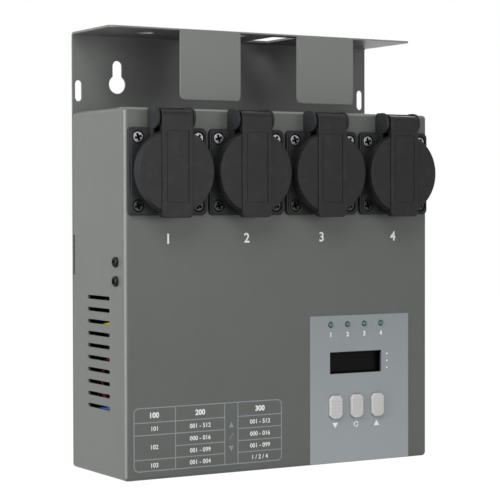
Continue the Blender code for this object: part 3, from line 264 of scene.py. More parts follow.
@dataclass
class Solid:
    """A closed mesh that is being shaped."""

    mesh: bpy.types.Mesh

    @classmethod
    def of_form(cls, form: bmesh.types.BMesh) -> "Solid":
        """A solid from a bmesh, which is freed.

        Args:
            form: The bmesh.

        Returns:
            The solid.
        """
        mesh = bpy.data.meshes.new("form")
        form.to_mesh(mesh)
        form.free()
        return cls(mesh)

    @classmethod
    def of_rings(
        cls, rings: Sequence[Sequence[Place]], face: Face = Face.TOP, looped: bool = False,
    ) -> "Solid":
        """A skin over rings with as many points each.

        Args:
            rings: The points of each ring.
            face: The face in whose frame they lie.
            looped: Whether the last ring meets the first, instead of both being closed off.

        Returns:
            The solid.
        """
        form = bmesh.new()
        made = [[form.verts.new(point) for point in ring] for ring in rings]
        for lower, upper in zip(made, made[1:] + (made[:1] if looped else [])):
            for i in range(len(lower)):
                j = (i + 1) % len(lower)
                form.faces.new((lower[i], lower[j], upper[j], upper[i]))
        if not looped:
            form.faces.new(reversed(made[0]))
            form.faces.new(made[-1])
        bmesh.ops.recalc_face_normals(form, faces=form.faces)
        form.transform(face.matrix)
        return cls.of_form(form)

    @classmethod
    def stack(cls, layers: Sequence[tuple[Outline, float]], face: Face = Face.FRONT) -> "Solid":
        """A solid through outlines at rising heights over a face, each with the same number of points."""
        return cls.of_rings([[(x, y, height) for x, y in outline.points] for outline, height in layers], face)

    @classmethod
    def block(
        cls, outline: Outline, low: float, high: float, face: Face = Face.FRONT,
        rim: float = 0.0, foot: float = 0.0, steps: int = 3,
    ) -> "Solid":
        """A block on an outline, with its upper and lower edges rounded.

        Args:
            outline: The outline seen on the face.
            low: The lower height.
            high: The upper height.
            face: The face that it stands on.
            rim: The radius round the upper edge.
            foot: The radius round the lower edge.
            steps: How many chords each radius has.

        Returns:
            The block.
        """
        angles = [math.radians(90 * step / steps) for step in range(steps + 1)]
        shares = [(1 - math.sin(angle), 1 - math.cos(angle)) for angle in angles]
        layers: list[tuple[Outline, float]] = []
        if foot:
            layers += [(outline.inset(foot * far), low + foot * near) for far, near in shares[:-1]]
        layers += [(outline, low + foot), (outline, high - rim)]
        if rim:
            layers += [(outline.inset(rim * near), high - rim * far) for far, near in shares[1:]]
        return cls.stack(layers, face)

    @classmethod
    def blocks(cls, outlines: Iterable[Outline], low: float, high: float, face: Face = Face.FRONT) -> "Solid":
        """Plain blocks on outlines that don't meet, held as one."""
        return cls.group(cls.block(outline, low, high, face) for outline in outlines)

    @classmethod
    def through(cls, outlines: Iterable[Outline], level: float, face: Face = Face.FRONT) -> "Solid":
        """What cuts these outlines through a sheet at one height over a face."""
        return cls.blocks(outlines, level - BEYOND, level + BEYOND, face)

    @classmethod
    def turned(
        cls, profile: Sequence[Point], face: Face = Face.FRONT, sides: int = 48, middle: Point = (0, 0),
        looped: bool = False,
    ) -> "Solid":
        """A round solid through radii at rising heights, or a ring whose section is a loop of them."""
        circles = [(Outline.circle(r, sides).at(*middle).points, height) for r, height in profile]
        return cls.of_rings([[(x, y, height) for x, y in points] for points, height in circles], face, looped)

    @classmethod
    def tube(cls, path: Sequence[Vector], radius: float, sides: int = 12) -> "Solid":
        """A round wire along a path, closed at both ends.

        Args:
            path: The points along its middle.
            radius: Its radius.
            sides: How many sides it has.

        Returns:
            The wire.
        """
        turns = [2 * math.pi * k / sides for k in range(sides)]
        rings: list[list[Vector]] = []
        side = Vector((0, 0, 1))
        for i, here in enumerate(path):
            along = (path[min(i + 1, len(path) - 1)] - path[max(i - 1, 0)]).normalized()
            if abs(along.dot(side)) > 0.95:
                side = Vector((0, 1, 0)) if abs(along.y) < 0.9 else Vector((1, 0, 0))
            side = (side - along * along.dot(side)).normalized()
            other = along.cross(side)
            rings.append([here + radius * (side * math.cos(t) + other * math.sin(t)) for t in turns])
        return cls.of_rings(rings)

    @classmethod
    def group(cls, solids: Iterable["Solid"]) -> "Solid":
        """Solids that don't meet, held as one.

        Args:
            solids: The solids.

        Returns:
            One solid.
        """
        form = bmesh.new()
        for solid in solids:
            form.from_mesh(solid.mesh)
        return cls.of_form(form)

    def moved(self, x: float = 0.0, y: float = 0.0, z: float = 0.0) -> "Solid":
        """A copy at another place.

        Args:
            x: How far right.
            y: How far back.
            z: How far up.

        Returns:
            The copy.
        """
        copy = self.mesh.copy()
        copy.transform(Matrix.Translation((x, y, z)))
        return Solid(copy)

    def mirrored(self) -> "Solid":
        """The mirror image across the middle plane of the case.

        Returns:
            The mirror image.
        """
        copy = self.mesh.copy()
        copy.transform(Matrix.Scale(-1, 4, (1, 0, 0)))
        copy.flip_normals()
        return Solid(copy)

    def joined(self, *others: "Solid") -> "Solid":
        """This solid made one with others that meet it."""
        return self.shaped("UNION", others)

    def cut(self, *others: "Solid") -> "Solid":
        """This solid with others taken away."""
        return self.shaped("DIFFERENCE", others)

    def shaped(self, operation: str, others: Sequence["Solid"]) -> "Solid":
        """A Boolean with each of the others in turn.

        Args:
            operation: UNION or DIFFERENCE.
            others: The solids to join or to take away.

        Returns:
            The finished solid.
        """
        helpers = [bpy.data.objects.new("base", self.mesh)]
        for other in others:
            helper = bpy.data.objects.new("helper", other.mesh)
            modifier = helpers[0].modifiers.new(operation.lower(), "BOOLEAN")
            modifier.operation = operation
            modifier.object = helper
            helpers.append(helper)
        for helper in helpers:
            bpy.context.scene.collection.objects.link(helper)
        graph = bpy.context.evaluated_depsgraph_get()
        mesh = bpy.data.meshes.new_from_object(helpers[0].evaluated_get(graph))
        for helper in helpers:
            bpy.data.objects.remove(helper)
        return Solid(mesh)


@dataclass(frozen=True)
class Wire:
    """One output in a material's nodes, which takes part in arithmetic."""

    graph: "Graph"
    socket: bpy.types.NodeSocket | None

    def math(self, operation: str, first: Any, second: Any = 0.0) -> "Wire":
        """The result of one Math node."""
        return self.graph.node("ShaderNodeMath", {"operation": operation}, {0: first, 1: second})

    def __add__(self, other: Any) -> "Wire":
        """This value plus another."""
        return self.math("ADD", self, other)

    def __radd__(self, other: Any) -> "Wire":
        """Another value plus this one."""
        return self.math("ADD", other, self)

    def __sub__(self, other: Any) -> "Wire":
        """This value less another."""
        return self.math("SUBTRACT", self, other)

    def __rsub__(self, other: Any) -> "Wire":
        """Another value less this one."""
        return self.math("SUBTRACT", other, self)

    def __mul__(self, other: Any) -> "Wire":
        """This value times another."""
        return self.math("MULTIPLY", self, other)

    def __rmul__(self, other: Any) -> "Wire":
        """Another value times this one."""
        return self.math("MULTIPLY", other, self)

    def __truediv__(self, other: Any) -> "Wire":
        """This value over another."""
        return self.math("DIVIDE", self, other)

    def __rtruediv__(self, other: Any) -> "Wire":
        """Another value over this one."""
        return self.math("DIVIDE", other, self)

    def __gt__(self, other: Any) -> "Wire":
        """1 where this value is the greater."""
        return self.math("GREATER_THAN", self, other)

    def __lt__(self, other: Any) -> "Wire":
        """1 where this value is the smaller."""
        return self.math("LESS_THAN", self, other)

    def __abs__(self) -> "Wire":
        """This value without its sign."""
        return self.math("ABSOLUTE", self)

    def fraction(self) -> "Wire":
        """What this value holds beyond its whole number."""
        return self.math("FRACT", self)

    def greater(self, other: "Wire") -> "Wire":
        """The greater of this value and another."""
        return self.math("MAXIMUM", self, other)

    def between(self, low: float, high: float) -> "Wire":
        """Runs from 0 at the low value to 1 at the high one, and stays there."""
        ends = {"Value": self, "From Min": low, "From Max": high}
        return self.graph.node("ShaderNodeMapRange", {"clamp": True}, ends)


@dataclass
class Graph:
    """The nodes of one material, or of the surroundings."""

    material: bpy.types.Material | bpy.types.World

    @classmethod
    def new(cls, name: str) -> "Graph":
        """An empty material with its nodes cleared.

        Args:
            name: The material's name.

        Returns:
            Its graph.
        """
        made = bpy.data.materials.new(name)
        made.use_nodes = True
        made.node_tree.nodes.clear()
        return cls(made)

    def node(
        self, kind: str, settings: dict[str, Any] | None = None, inputs: dict[int | str, Any] | None = None,
        output: int | str = 0,
    ) -> Wire:
        """Adds one node.

        Args:
            kind: The node's type.
            settings: Its own settings, and a ramp's stops as (place, colour) pairs.
            inputs: The values or links of its sockets.
            output: The output that is given back.

        Returns:
            That output.
        """
        made = self.material.node_tree.nodes.new(kind)
        for name, value in (settings or {}).items():
            if name == "stops":
                self.set_stops(made.color_ramp, value)
            else:
                setattr(made, name, value)
        for name, value in (inputs or {}).items():
            self.feed(made.inputs[name], value)
        return Wire(self, made.outputs[output] if len(made.outputs) else None)

    def set_stops(self, ramp: bpy.types.ColorRamp, stops: Sequence[tuple[float, Colour]]) -> None:
        """Gives a ramp its stops.

        Args:
            ramp: The ramp.
            stops: The place and colour of each.
        """
        while len(ramp.elements) < len(stops):
            ramp.elements.new(0.5)
        for element, (place, colour) in zip(ramp.elements, stops):
            element.position = place
            element.color = (*colour, 1)

    def feed(self, socket: bpy.types.NodeSocket, value: Any) -> None:
        """Links a wire to a socket, or sets the socket's own value.

        Args:
            socket: The input.
            value: A wire, or the input's own value.
        """
        if isinstance(value, Wire):
            self.material.node_tree.links.new(value.socket, socket)
        elif isinstance(value, tuple) and len(value) == 3 and socket.type == "RGBA":
            socket.default_value = (*value, 1)
        else:
            socket.default_value = value

    def place(self) -> Wire:
        """A point of the surface in the piece's own frame."""
        return self.node("ShaderNodeTexCoord", output="Object")

    def axis(self, name: str) -> Wire:
        """One coordinate, X, Y or Z, of the surface in the piece's own frame."""
        return self.node("ShaderNodeSeparateXYZ", {}, {0: self.place()}, name)

    def noise(self, scale: float, detail: float = 2.0, stretch: Colour = (1.0, 1.0, 1.0)) -> Wire:
        """Noise with so many cycles a metre, drawn out along an axis where stretch is under 1."""
        where = self.node("ShaderNodeMapping", {}, {"Vector": self.place(), "Scale": stretch})
        return self.node("ShaderNodeTexNoise", {}, {"Vector": where, "Scale": scale, "Detail": detail})

    def mix(self, factor: Any, first: Any, second: Any) -> Wire:
        """A blend of two colours."""
        return self.node("ShaderNodeMix", {"data_type": "RGBA"}, {0: factor, 6: first, 7: second}, 2)

    def bump(self, height: Wire, distance: float, strength: float = 1.0) -> Wire:
        """A normal that follows a height, whose whole range is this far in metres."""
        return self.node("ShaderNodeBump", {}, {"Height": height, "Distance": distance, "Strength": strength})

    def finish(self, specular: float, **inputs: Any) -> bpy.types.Material:
        """Ends the material in one Principled shader, with inputs named with underscores for spaces.

        Args:
            specular: The specular level.
            inputs: The other inputs.

        Returns:
            The material.
        """
        named = {name.replace("_", " "): value for name, value in inputs.items()}
        named["Specular IOR Level"] = specular
        shader = self.node("ShaderNodeBsdfPrincipled", {}, named)
        self.node("ShaderNodeOutputMaterial", {}, {"Surface": shader})
        return self.material


@dataclass(frozen=True)
class Finish:
    """The finish of a surface, and the record's slot that it belongs to."""

    name: str
    slot: str
    colour: Colour
    specular: float = field(default=0.3, kw_only=True)

    def material(self) -> bpy.types.Material:
        """The material, made once."""
        found = bpy.data.materials.get(self.name)
        return found if found else self.dress(Graph.new(self.name))

    def dress(self, graph: Graph) -> bpy.types.Material:
        """Fills the material's nodes."""
        raise NotImplementedError


@dataclass(frozen=True)
class PowderCoat(Finish):
    """Grey powder coat with a fine orange peel, and a painted highlight along the case's front bends.

    The bracket's tabs are painted a shade lighter than its plate to stand in for the light on them, and
    scuffed along their lower edges.
    """

    peel: float = 700.0
    peel_depth: float = 0.05 * MM
    speck: Colour = (0.30, 0.31, 0.30)
    tab: Colour | None = None
    tab_before: float = -16.0 * MM
    scuff: Colour = (0.028, 0.029, 0.028)
    scuff_from: float = 216.0 * MM
    scuff_depth: float = 0.6 * MM
    side_bend: float = 136.95 * MM
    top_bend: float = 243.15 * MM
    bend_reach: float = 0.3 * MM
    bend_paleness: float = 1.9

    def dress(self, graph: Graph) -> bpy.types.Material:
        """Clouds, specks and orange peel, scuffs on the tabs, and painted light: lighter tabs and a painted
        highlight along the bends.

        Args:
            graph: The material's empty graph.

        Returns:
            The material.
        """
        specks = graph.noise(2600.0, 1.0).between(0.30, 0.38)
        colour = graph.mix(graph.noise(24.0, 4.0), scaled(self.colour, 0.93), scaled(self.colour, 1.07))
        colour = graph.mix((1 - specks) * 0.10, colour, self.speck)
        rough = 0.28 + 0.12 * graph.noise(90.0, 3.0)
        across, depth, height = (graph.axis(name) for name in "XYZ")
        # Painted light: the tabs get a lighter copy of the coat than the plate; the scuffs along their lower
        # edges are wear.
        if self.tab:
            on_tab = depth < self.tab_before
            colour = graph.mix(on_tab, colour, self.tab)
            ragged = height - self.scuff_depth * 1.6 * graph.noise(420.0, 5.0)
            worn = (1 - ragged.between(self.scuff_from - self.scuff_depth, self.scuff_from)) * on_tab * 0.75
            colour = graph.mix(worn, colour, self.scuff)
            rough = rough + worn * 0.2
        else:
            # Painted highlight: the coat is painted paler in a thin band along the front's side and top
            # bends.
            sides = (abs(across) - depth).between(self.side_bend - self.bend_reach, self.side_bend)
            top = (height - depth).between(self.top_bend - self.bend_reach, self.top_bend)
            colour = graph.mix(sides.greater(top), colour, scaled(self.colour, self.bend_paleness))
        relief = graph.noise(self.peel, 2.0) + 0.35 * graph.noise(self.peel * 2.7, 1.0)
        normal = graph.bump(relief, self.peel_depth)
        return graph.finish(self.specular, Base_Color=colour, Roughness=rough, Normal=normal)


@dataclass(frozen=True)
class MouldedPlastic(Finish):
    """Moulded plastic with the fine grain of its tool and faint flow clouds."""

    roughness: float = 0.42
    grain: float = 1500.0
    relief: float = 0.03 * MM
    dust: float = 0.05
    dust_colour: Colour = (0.20, 0.20, 0.19)

    def dress(self, graph: Graph) -> bpy.types.Material:
        """Grain, slight clouds and a little dust.

        Args:
            graph: The material's empty graph.

        Returns:
            The material.
        """
        colour = graph.mix(graph.noise(45.0, 3.0), self.colour, scaled(self.colour, 1.14, 0.0015))
        dusty = graph.noise(160.0, 4.0).between(0.52, 0.80) * self.dust
        colour = graph.mix(dusty, colour, self.dust_colour)
        rough = self.roughness - 0.06 + 0.14 * graph.noise(220.0, 3.0)
        normal = graph.bump(graph.noise(self.grain, 2.0), self.relief)
        return graph.finish(self.specular, Base_Color=colour, Roughness=rough, Normal=normal)


@dataclass(frozen=True)
class MetalFinish(Finish):
    """Plated or blackened steel with fine drawn marks."""

    roughness: float = 0.28
    metallic: float = 1.0
    grimy: bool = False
    grime: Colour = (0.010, 0.010, 0.010)
    grime_behind: float = -37.35 * MM
    grime_run: float = 0.3 * MM

    def dress(self, graph: Graph) -> bpy.types.Material:
        """Drawn marks in roughness and bump, slight staining, and painted shade down in a screw's recess.

        Args:
            graph: The material's empty graph.

        Returns:
            The material.
        """
        marks = graph.noise(900.0, 3.0, (1.0, 1.0, 0.08))
        stain = graph.noise(260.0, 4.0).between(0.45, 0.8)
        colour = graph.mix(stain * 0.55, self.colour, scaled(self.colour, 0.72))
        # Painted shade: the screw's cross recess is painted dark below the head's face.
        if self.grimy:
            in_recess_shade = graph.axis("Y").between(self.grime_behind, self.grime_behind + self.grime_run)
            colour = graph.mix(in_recess_shade, colour, self.grime)
        rough = self.roughness - 0.05 + 0.16 * marks + 0.08 * stain
        normal = graph.bump(marks, 0.012 * MM)
        return graph.finish(
            self.specular, Base_Color=colour, Roughness=rough, Metallic=self.metallic, Normal=normal
        )


@dataclass(frozen=True)
class PanelFilm(Finish):
    """The matt polyester film over the control panel, painted a touch lighter towards its foot as painted
    light.
    """

    foot: Colour = (0.0, 0.0, 0.0)
    fleck: Colour = (0.55, 0.58, 0.60)
    top: float = 90.0 * MM

    def dress(self, graph: Graph) -> bpy.types.Material:
        """A painted run of light, lighter at the foot than at the top, over a fine matt texture.

        Args:
            graph: The material's empty graph.

        Returns:
            The material.
        """
        # Painted light: the film's colour runs from a lighter tone at its foot to its own colour at the top.
        colour = graph.mix(graph.axis("Z").between(0.0, self.top), self.foot, self.colour)
        colour = graph.mix(graph.noise(60.0, 3.0) * 0.06, colour, self.fleck)
        rough = 0.36 + 0.08 * graph.noise(300.0, 2.0)
        normal = graph.bump(graph.noise(2400.0, 1.0), 0.008 * MM)
        return graph.finish(self.specular, Base_Color=colour, Roughness=rough, Normal=normal)


@dataclass(frozen=True)
class Ink(Finish):
    """Screen-printed ink, a little thin in places."""

    def dress(self, graph: Graph) -> bpy.types.Material:
        """Slightly uneven cover over a satin surface.

        Args:
            graph: The material's empty graph.

        Returns:
            The material.
        """
        cover = graph.noise(900.0, 3.0).between(0.35, 0.75)
        colour = graph.mix(cover, self.colour, scaled(self.colour, 0.90))
        rough = 0.45 + 0.08 * graph.noise(500.0, 2.0)
        return graph.finish(self.specular, Base_Color=colour, Roughness=rough)


@dataclass(frozen=True)
class ClearFinish(Finish):
    """A glossy lens or pane over something dark, with a hard clear coat."""

    roughness: float = 0.10
    coat: float = 0.5
    heart: Colour = (0.0, 0.0, 0.0)
    heart_scale: float = 500.0

    def dress(self, graph: Graph) -> bpy.types.Material:
        """A soft change of tone inside and faint smears on the surface.

        Args:
            graph: The material's empty graph.

        Returns:
            The material.
        """
        colour = graph.mix(graph.noise(self.heart_scale, 2.0).between(0.35, 0.7), self.colour, self.heart)
        rough = self.roughness + 0.08 * graph.noise(150.0, 3.0)
        normal = graph.bump(graph.noise(300.0, 2.0), 0.006 * MM)
        return graph.finish(
            self.specular, Base_Color=colour, Roughness=rough, Coat_Weight=self.coat, Normal=normal
        )


@dataclass(frozen=True)
class CircuitBoard(Finish):
    """Solder mask over copper tracks and pads."""

    pitch: float = 2.54 * MM
    solder: Colour = (0.52, 0.52, 0.50)

    def dress(self, graph: Graph) -> bpy.types.Material:
        """Tracks in steps along the board, and bright pads on a grid.

        Args:
            graph: The material's empty graph.

        Returns:
            The material.
        """
        upright = graph.node("ShaderNodeCombineXYZ", {}, {0: graph.axis("X"), 1: graph.axis("Z"), 2: 0.0})
        flat = {"voronoi_dimensions": "2D"}
        blocks = {"Vector": upright, "Scale": 0.22 / self.pitch, "Randomness": 0.8}
        grid = {"Vector": upright, "Scale": 1 / self.pitch, "Randomness": 0.0}
        squares = graph.node("ShaderNodeTexVoronoi", {"distance": "CHEBYCHEV", **flat}, blocks)
        bands = (squares * 9.0).fraction()
        tracks = bands.between(0.55, 0.62) * (1 - bands.between(0.80, 0.87))
        pads = (graph.node("ShaderNodeTexVoronoi", flat, grid) < 0.22) * (graph.noise(190.0, 1.0) > 0.55)
        colour = graph.mix(tracks, self.colour, scaled(self.colour, 1.9, 0.004))
        colour = graph.mix(pads, colour, self.solder)
        rough = 0.34 + 0.10 * graph.noise(500.0, 2.0)
        normal = graph.bump(tracks * 0.5 + pads, 0.05 * MM)
        return graph.finish(
            self.specular, Base_Color=colour, Roughness=rough, Metallic=pads * 0.9, Normal=normal
        )


@dataclass(frozen=True)
class TapedCoil(Finish):
    """A small transformer: yellow tape round the coil, and a laminated steel core."""

    core: Colour = (0.16, 0.16, 0.165)
    lamination: float = 0.5 * MM
    core_reach: float = 18.0 * MM
    middle: float = -31.6 * MM

    def dress(self, graph: Graph) -> bpy.types.Material:
        """Tape in the middle of its width and core plates beyond.

        Args:
            graph: The material's empty graph.

        Returns:
            The material.
        """
        core = abs(graph.axis("X") - self.middle) > self.core_reach
        tape = graph.mix(graph.noise(120.0, 3.0), self.colour, scaled(self.colour, 0.8))
        plates = (graph.axis("Y") / self.lamination).fraction()
        colour = graph.mix(core, tape, self.core)
        rough = 0.35 + 0.2 * graph.noise(400.0, 2.0)
        normal = graph.bump(plates * core + graph.noise(700.0, 2.0) * 0.4, 0.06 * MM)
        return graph.finish(
            self.specular, Base_Color=colour, Roughness=rough, Metallic=core * 0.7, Normal=normal
        )


@dataclass(frozen=True)
class Finishes:
    """Every finish of the switch pack."""

    # paint carries a painted highlight along the front bends; plate_paint paints its tabs lighter as painted
    # light.
    paint: Finish = PowderCoat("grey_powder_coat", "case_paint", grey(98, (0, 2, 0)), specular=0.2)
    plate_paint: Finish = PowderCoat(
        "grey_powder_coat_scuffed", "case_paint", grey(106, (0, 2, 0)), tab=grey(121, (0, 2, 0)), specular=0.2
    )
    socket: Finish = MouldedPlastic(
        "black_socket_plastic", "socket_plastic", grey(43, (0, 1, 2)), 0.38, specular=0.1
    )
    lid: Finish = MouldedPlastic(
        "charcoal_lid_plastic", "lid_plastic", grey(28, (0, 0, 1)), 0.32, grain=1100.0, specular=0.19
    )
    gasket: Finish = MouldedPlastic(
        "lid_gasket_rubber", "lid_plastic", grey(26), 0.72, grain=2200.0, dust=0.12, specular=0.2
    )
    bright: Finish = MetalFinish("zinc_plated_steel", "bright_steel", (0.40, 0.40, 0.40), 0.34)
    screw: Finish = MetalFinish("zinc_plated_screw", "bright_steel", (0.26, 0.25, 0.27), 0.36, grimy=True)
    spring: Finish = MetalFinish("spring_steel", "bright_steel", (0.48, 0.48, 0.47), 0.34)
    brass: Finish = MetalFinish("contact_brass", "bright_steel", (0.66, 0.50, 0.22), 0.26)
    # A darker copy of the screw steel for the lower screws: painted shade.
    dull: Finish = MetalFinish("dulled_screw_steel", "bright_steel", (0.050, 0.050, 0.052), 0.36, grimy=True)
    black_steel: Finish = MetalFinish("blackened_steel", "black_steel", (0.020, 0.020, 0.022), 0.36, 0.85)
    # The film's lighter foot colour is painted light.
    film: Finish = PanelFilm("panel_film_grey", "panel_film", grey(138, (0, 6, 9)), foot=grey(156, (0, 5, 7)))
    white_ink: Finish = Ink("white_print", "panel_film", grey(246))
    line_ink: Finish = Ink("pale_line_print", "case_paint", grey(146, (-4, 4, 6)))
    mark_ink: Finish = Ink("white_case_print", "case_paint", grey(246))
    lens: Finish = ClearFinish(
        "green_lamp_lens", "lamp_lens", (0.014, 0.085, 0.040), 0.10, heart=(0.030, 0.150, 0.075), specular=0.5
    )
    pane: Finish = ClearFinish(
        "smoked_display_pane", "display_glass", grey(13), 0.25, 0.0, grey(15), specular=0.06
    )
    bezel: Finish = MouldedPlastic(
        "display_bezel_black", "display_glass", grey(5), 0.6, dust=0.0, specular=0.04
    )
    segment: Finish = ClearFinish(
        "unlit_segments", "display_glass", grey(15, (2, 0, 0)), 0.3, 0.0, grey(17, (2, 0, 0)), specular=0.06
    )
    key: Finish = MouldedPlastic(
        "warm_white_key", "key_plastic", grey(193, (1, 0, -1)), 0.45, relief=0.015 * MM, dust=0.02
    )
    board: Finish = CircuitBoard("green_circuit_board", "circuit_board", (0.010, 0.070, 0.028))
    relay: Finish = MouldedPlastic("dark_relay_case", "relay_case", (0.010, 0.012, 0.018), 0.35, dust=0.03)
    coil: Finish = TapedCoil("taped_transformer", "transformer_core", (0.62, 0.43, 0.05))
    fitting: Finish = MouldedPlastic("black_fitting_plastic", "fitting_plastic", grey(30), 0.5, specular=0.25)
    button: Finish = MouldedPlastic("reset_button_plastic", "key_plastic", grey(190, (3, 1, -3)))
    yellow: Finish = MouldedPlastic("yellow_wire", "fitting_plastic", (0.58, 0.43, 0.02), dust=0.0)
    red: Finish = MouldedPlastic("red_wire", "fitting_plastic", (0.20, 0.028, 0.018), dust=0.0)
    blue: Finish = MouldedPlastic("blue_wire", "fitting_plastic", (0.03, 0.10, 0.42), dust=0.0)
    brown: Finish = MouldedPlastic("brown_wire", "fitting_plastic", (0.085, 0.040, 0.022), dust=0.0)


@dataclass(frozen=True)
class Plan:
    """The places and sizes that the sub-assemblies share."""

    width: float = 207.55 * MM
    height: float = 210.0 * MM
    front: float = -34.5 * MM
    wall: float = 34.5 * MM
    sheet: float = 1.2 * MM
    bend: float = 2.2 * MM
    corner: float = 2.6 * MM
    sockets: int = 4
    socket_pitch: float = 51.55 * MM
    socket_height: float = 173.9 * MM
    screw_reach: float = 19.2 * MM
    screw_hole: float = 1.75 * MM
    pan_screws: tuple[Point, ...] = ((10.7 * MM, 123.0 * MM), (10.7 * MM, 112.2 * MM))
    controls_middle: float = 51.075 * MM
    lamp_height: float = 83.4 * MM
    lamp_pitch: float = 12.05 * MM
    lamp_radius: float = 1.5 * MM
    window: Point = (37.3 * MM, 13.1 * MM)
    window_height: float = 60.4 * MM
    key: Point = (8.5 * MM, 14.0 * MM)
    key_chamfer: float = 2.0 * MM
    key_pitch: float = 15.0 * MM
    key_height: float = 34.1 * MM
    fittings_back: float = 8.0 * MM
    inlet_height: float = 26.0 * MM
    outlet_height: float = 64.0 * MM
    breaker_height: float = 169.6 * MM
    gland_height: float = 146.1 * MM

    @property
    def side(self) -> float:
        """Half the case's width."""
        return self.width / 2

    @property
    def plate_front(self) -> float:
        """The wall plate's front face."""
        return self.wall - self.sheet

    def row(self, middle: float, pitch: float) -> list[float]:
        """Where the four of a row lie, one to a channel."""
        first = middle - (self.sockets - 1) / 2 * pitch
        return [first + pitch * number for number in range(self.sockets)]

    def socket_places(self) -> list[float]:
        """How far right of the middle each socket lies."""
        return self.row(0.0, self.socket_pitch)

    def lamp_places(self) -> list[Point]:
        """The four channel lamps."""
        return [(x, self.lamp_height) for x in self.row(self.controls_middle, self.lamp_pitch)]

    def screw_places(self) -> dict[str, Point]:
        """The four screws of a socket, from its middle."""
        reach, ends, sides = self.screw_reach, (("upper", 1), ("lower", -1)), (("left", -1), ("right", 1))
        return {f"{end}_{side}": (x * reach, z * reach) for end, z in ends for side, x in sides}

    def key_places(self) -> dict[str, Point]:
        """The three keys."""
        x, step, z = self.controls_middle, self.key_pitch, self.key_height
        return {"down": (x - step, z), "mode": (x, z), "up": (x + step, z)}

    def panel_openings(self, clearance: float) -> list[Outline]:
        """The openings for lamps, window and keys, as seen on the front.

        Args:
            clearance: How far a lamp or a key stands clear of its opening.

        Returns:
            The outlines.
        """
        lamp = Outline.circle(self.lamp_radius + clearance, 24)
        window = Outline.rounded(*self.window, 0.5 * MM, 3).at(self.controls_middle, self.window_height)
        key = Outline.chamfered(self.key[0] + 2 * clearance, self.key[1] + 2 * clearance, self.key_chamfer)
        keys = [key.at(*spot) for spot in self.key_places().values()]
        return [*(lamp.at(*spot) for spot in self.lamp_places()), window, *keys]


PLAN = Plan()


@dataclass
class SubAssembly:
    """Pieces that are built and dressed together."""

    finishes: Finishes = field(default_factory=Finishes)

    def place(
        self, name: str, solid: Solid, finish: Finish, replaces: Sequence[str] = (), body: str = "case",
        bevel: float = 0.0,
    ) -> None:
        """Makes one piece of the finished model.

        Args:
            name: The piece's name.
            solid: Its shape, where it stands.
            finish: Its finish.
            replaces: The CAD nodes that it stands for.
            body: The CAD body that it rides on.
            bevel: The width of a small bevel along its sharp edges.
        """
        mesh = solid.mesh
        mesh.name = name
        mesh.materials.clear()
        mesh.materials.append(finish.material())
        mesh.shade_smooth()
        mesh.set_sharp_from_angle(angle=math.radians(SMOOTH_ANGLE))
        piece = bpy.data.objects.new(name, mesh)
        bpy.context.scene.collection.objects.link(piece)
        if bevel:
            edges = piece.modifiers.new("edges", "BEVEL")
            edges.width = bevel
            edges.segments = 2
            edges.limit_method = "ANGLE"
            edges.angle_limit = math.radians(BEVEL_ANGLE)
            edges.use_clamp_overlap = True
        normals = piece.modifiers.new("normals", "WEIGHTED_NORMAL")
        normals.keep_sharp = True
        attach(piece, body)
        if replaces:
            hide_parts(*replaces)
        LOG.info("placed %s on %s, %d faces", name, body, len(mesh.polygons))

    def build(self) -> None:
        """Builds and dresses every piece."""
        raise NotImplementedError


def board_studs(node: str, low: float, high: float) -> Solid:
    """Hexagonal studs near the corners of a board.

    Args:
        node: The board's CAD node.
        low: The height over the front where they start.
        high: The height where they end.

    Returns:
        The studs.
    """
    first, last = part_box(node)
    inset = 5.5 * MM
    stud = Outline.hexagon(4.6 * MM, 0.1 * MM)
    spots = [(x, z) for x in (first.x + inset, last.x - inset) for z in (first.z + inset, last.z - inset)]
    return Solid.blocks([stud.at(*spot) for spot in spots], low, high)


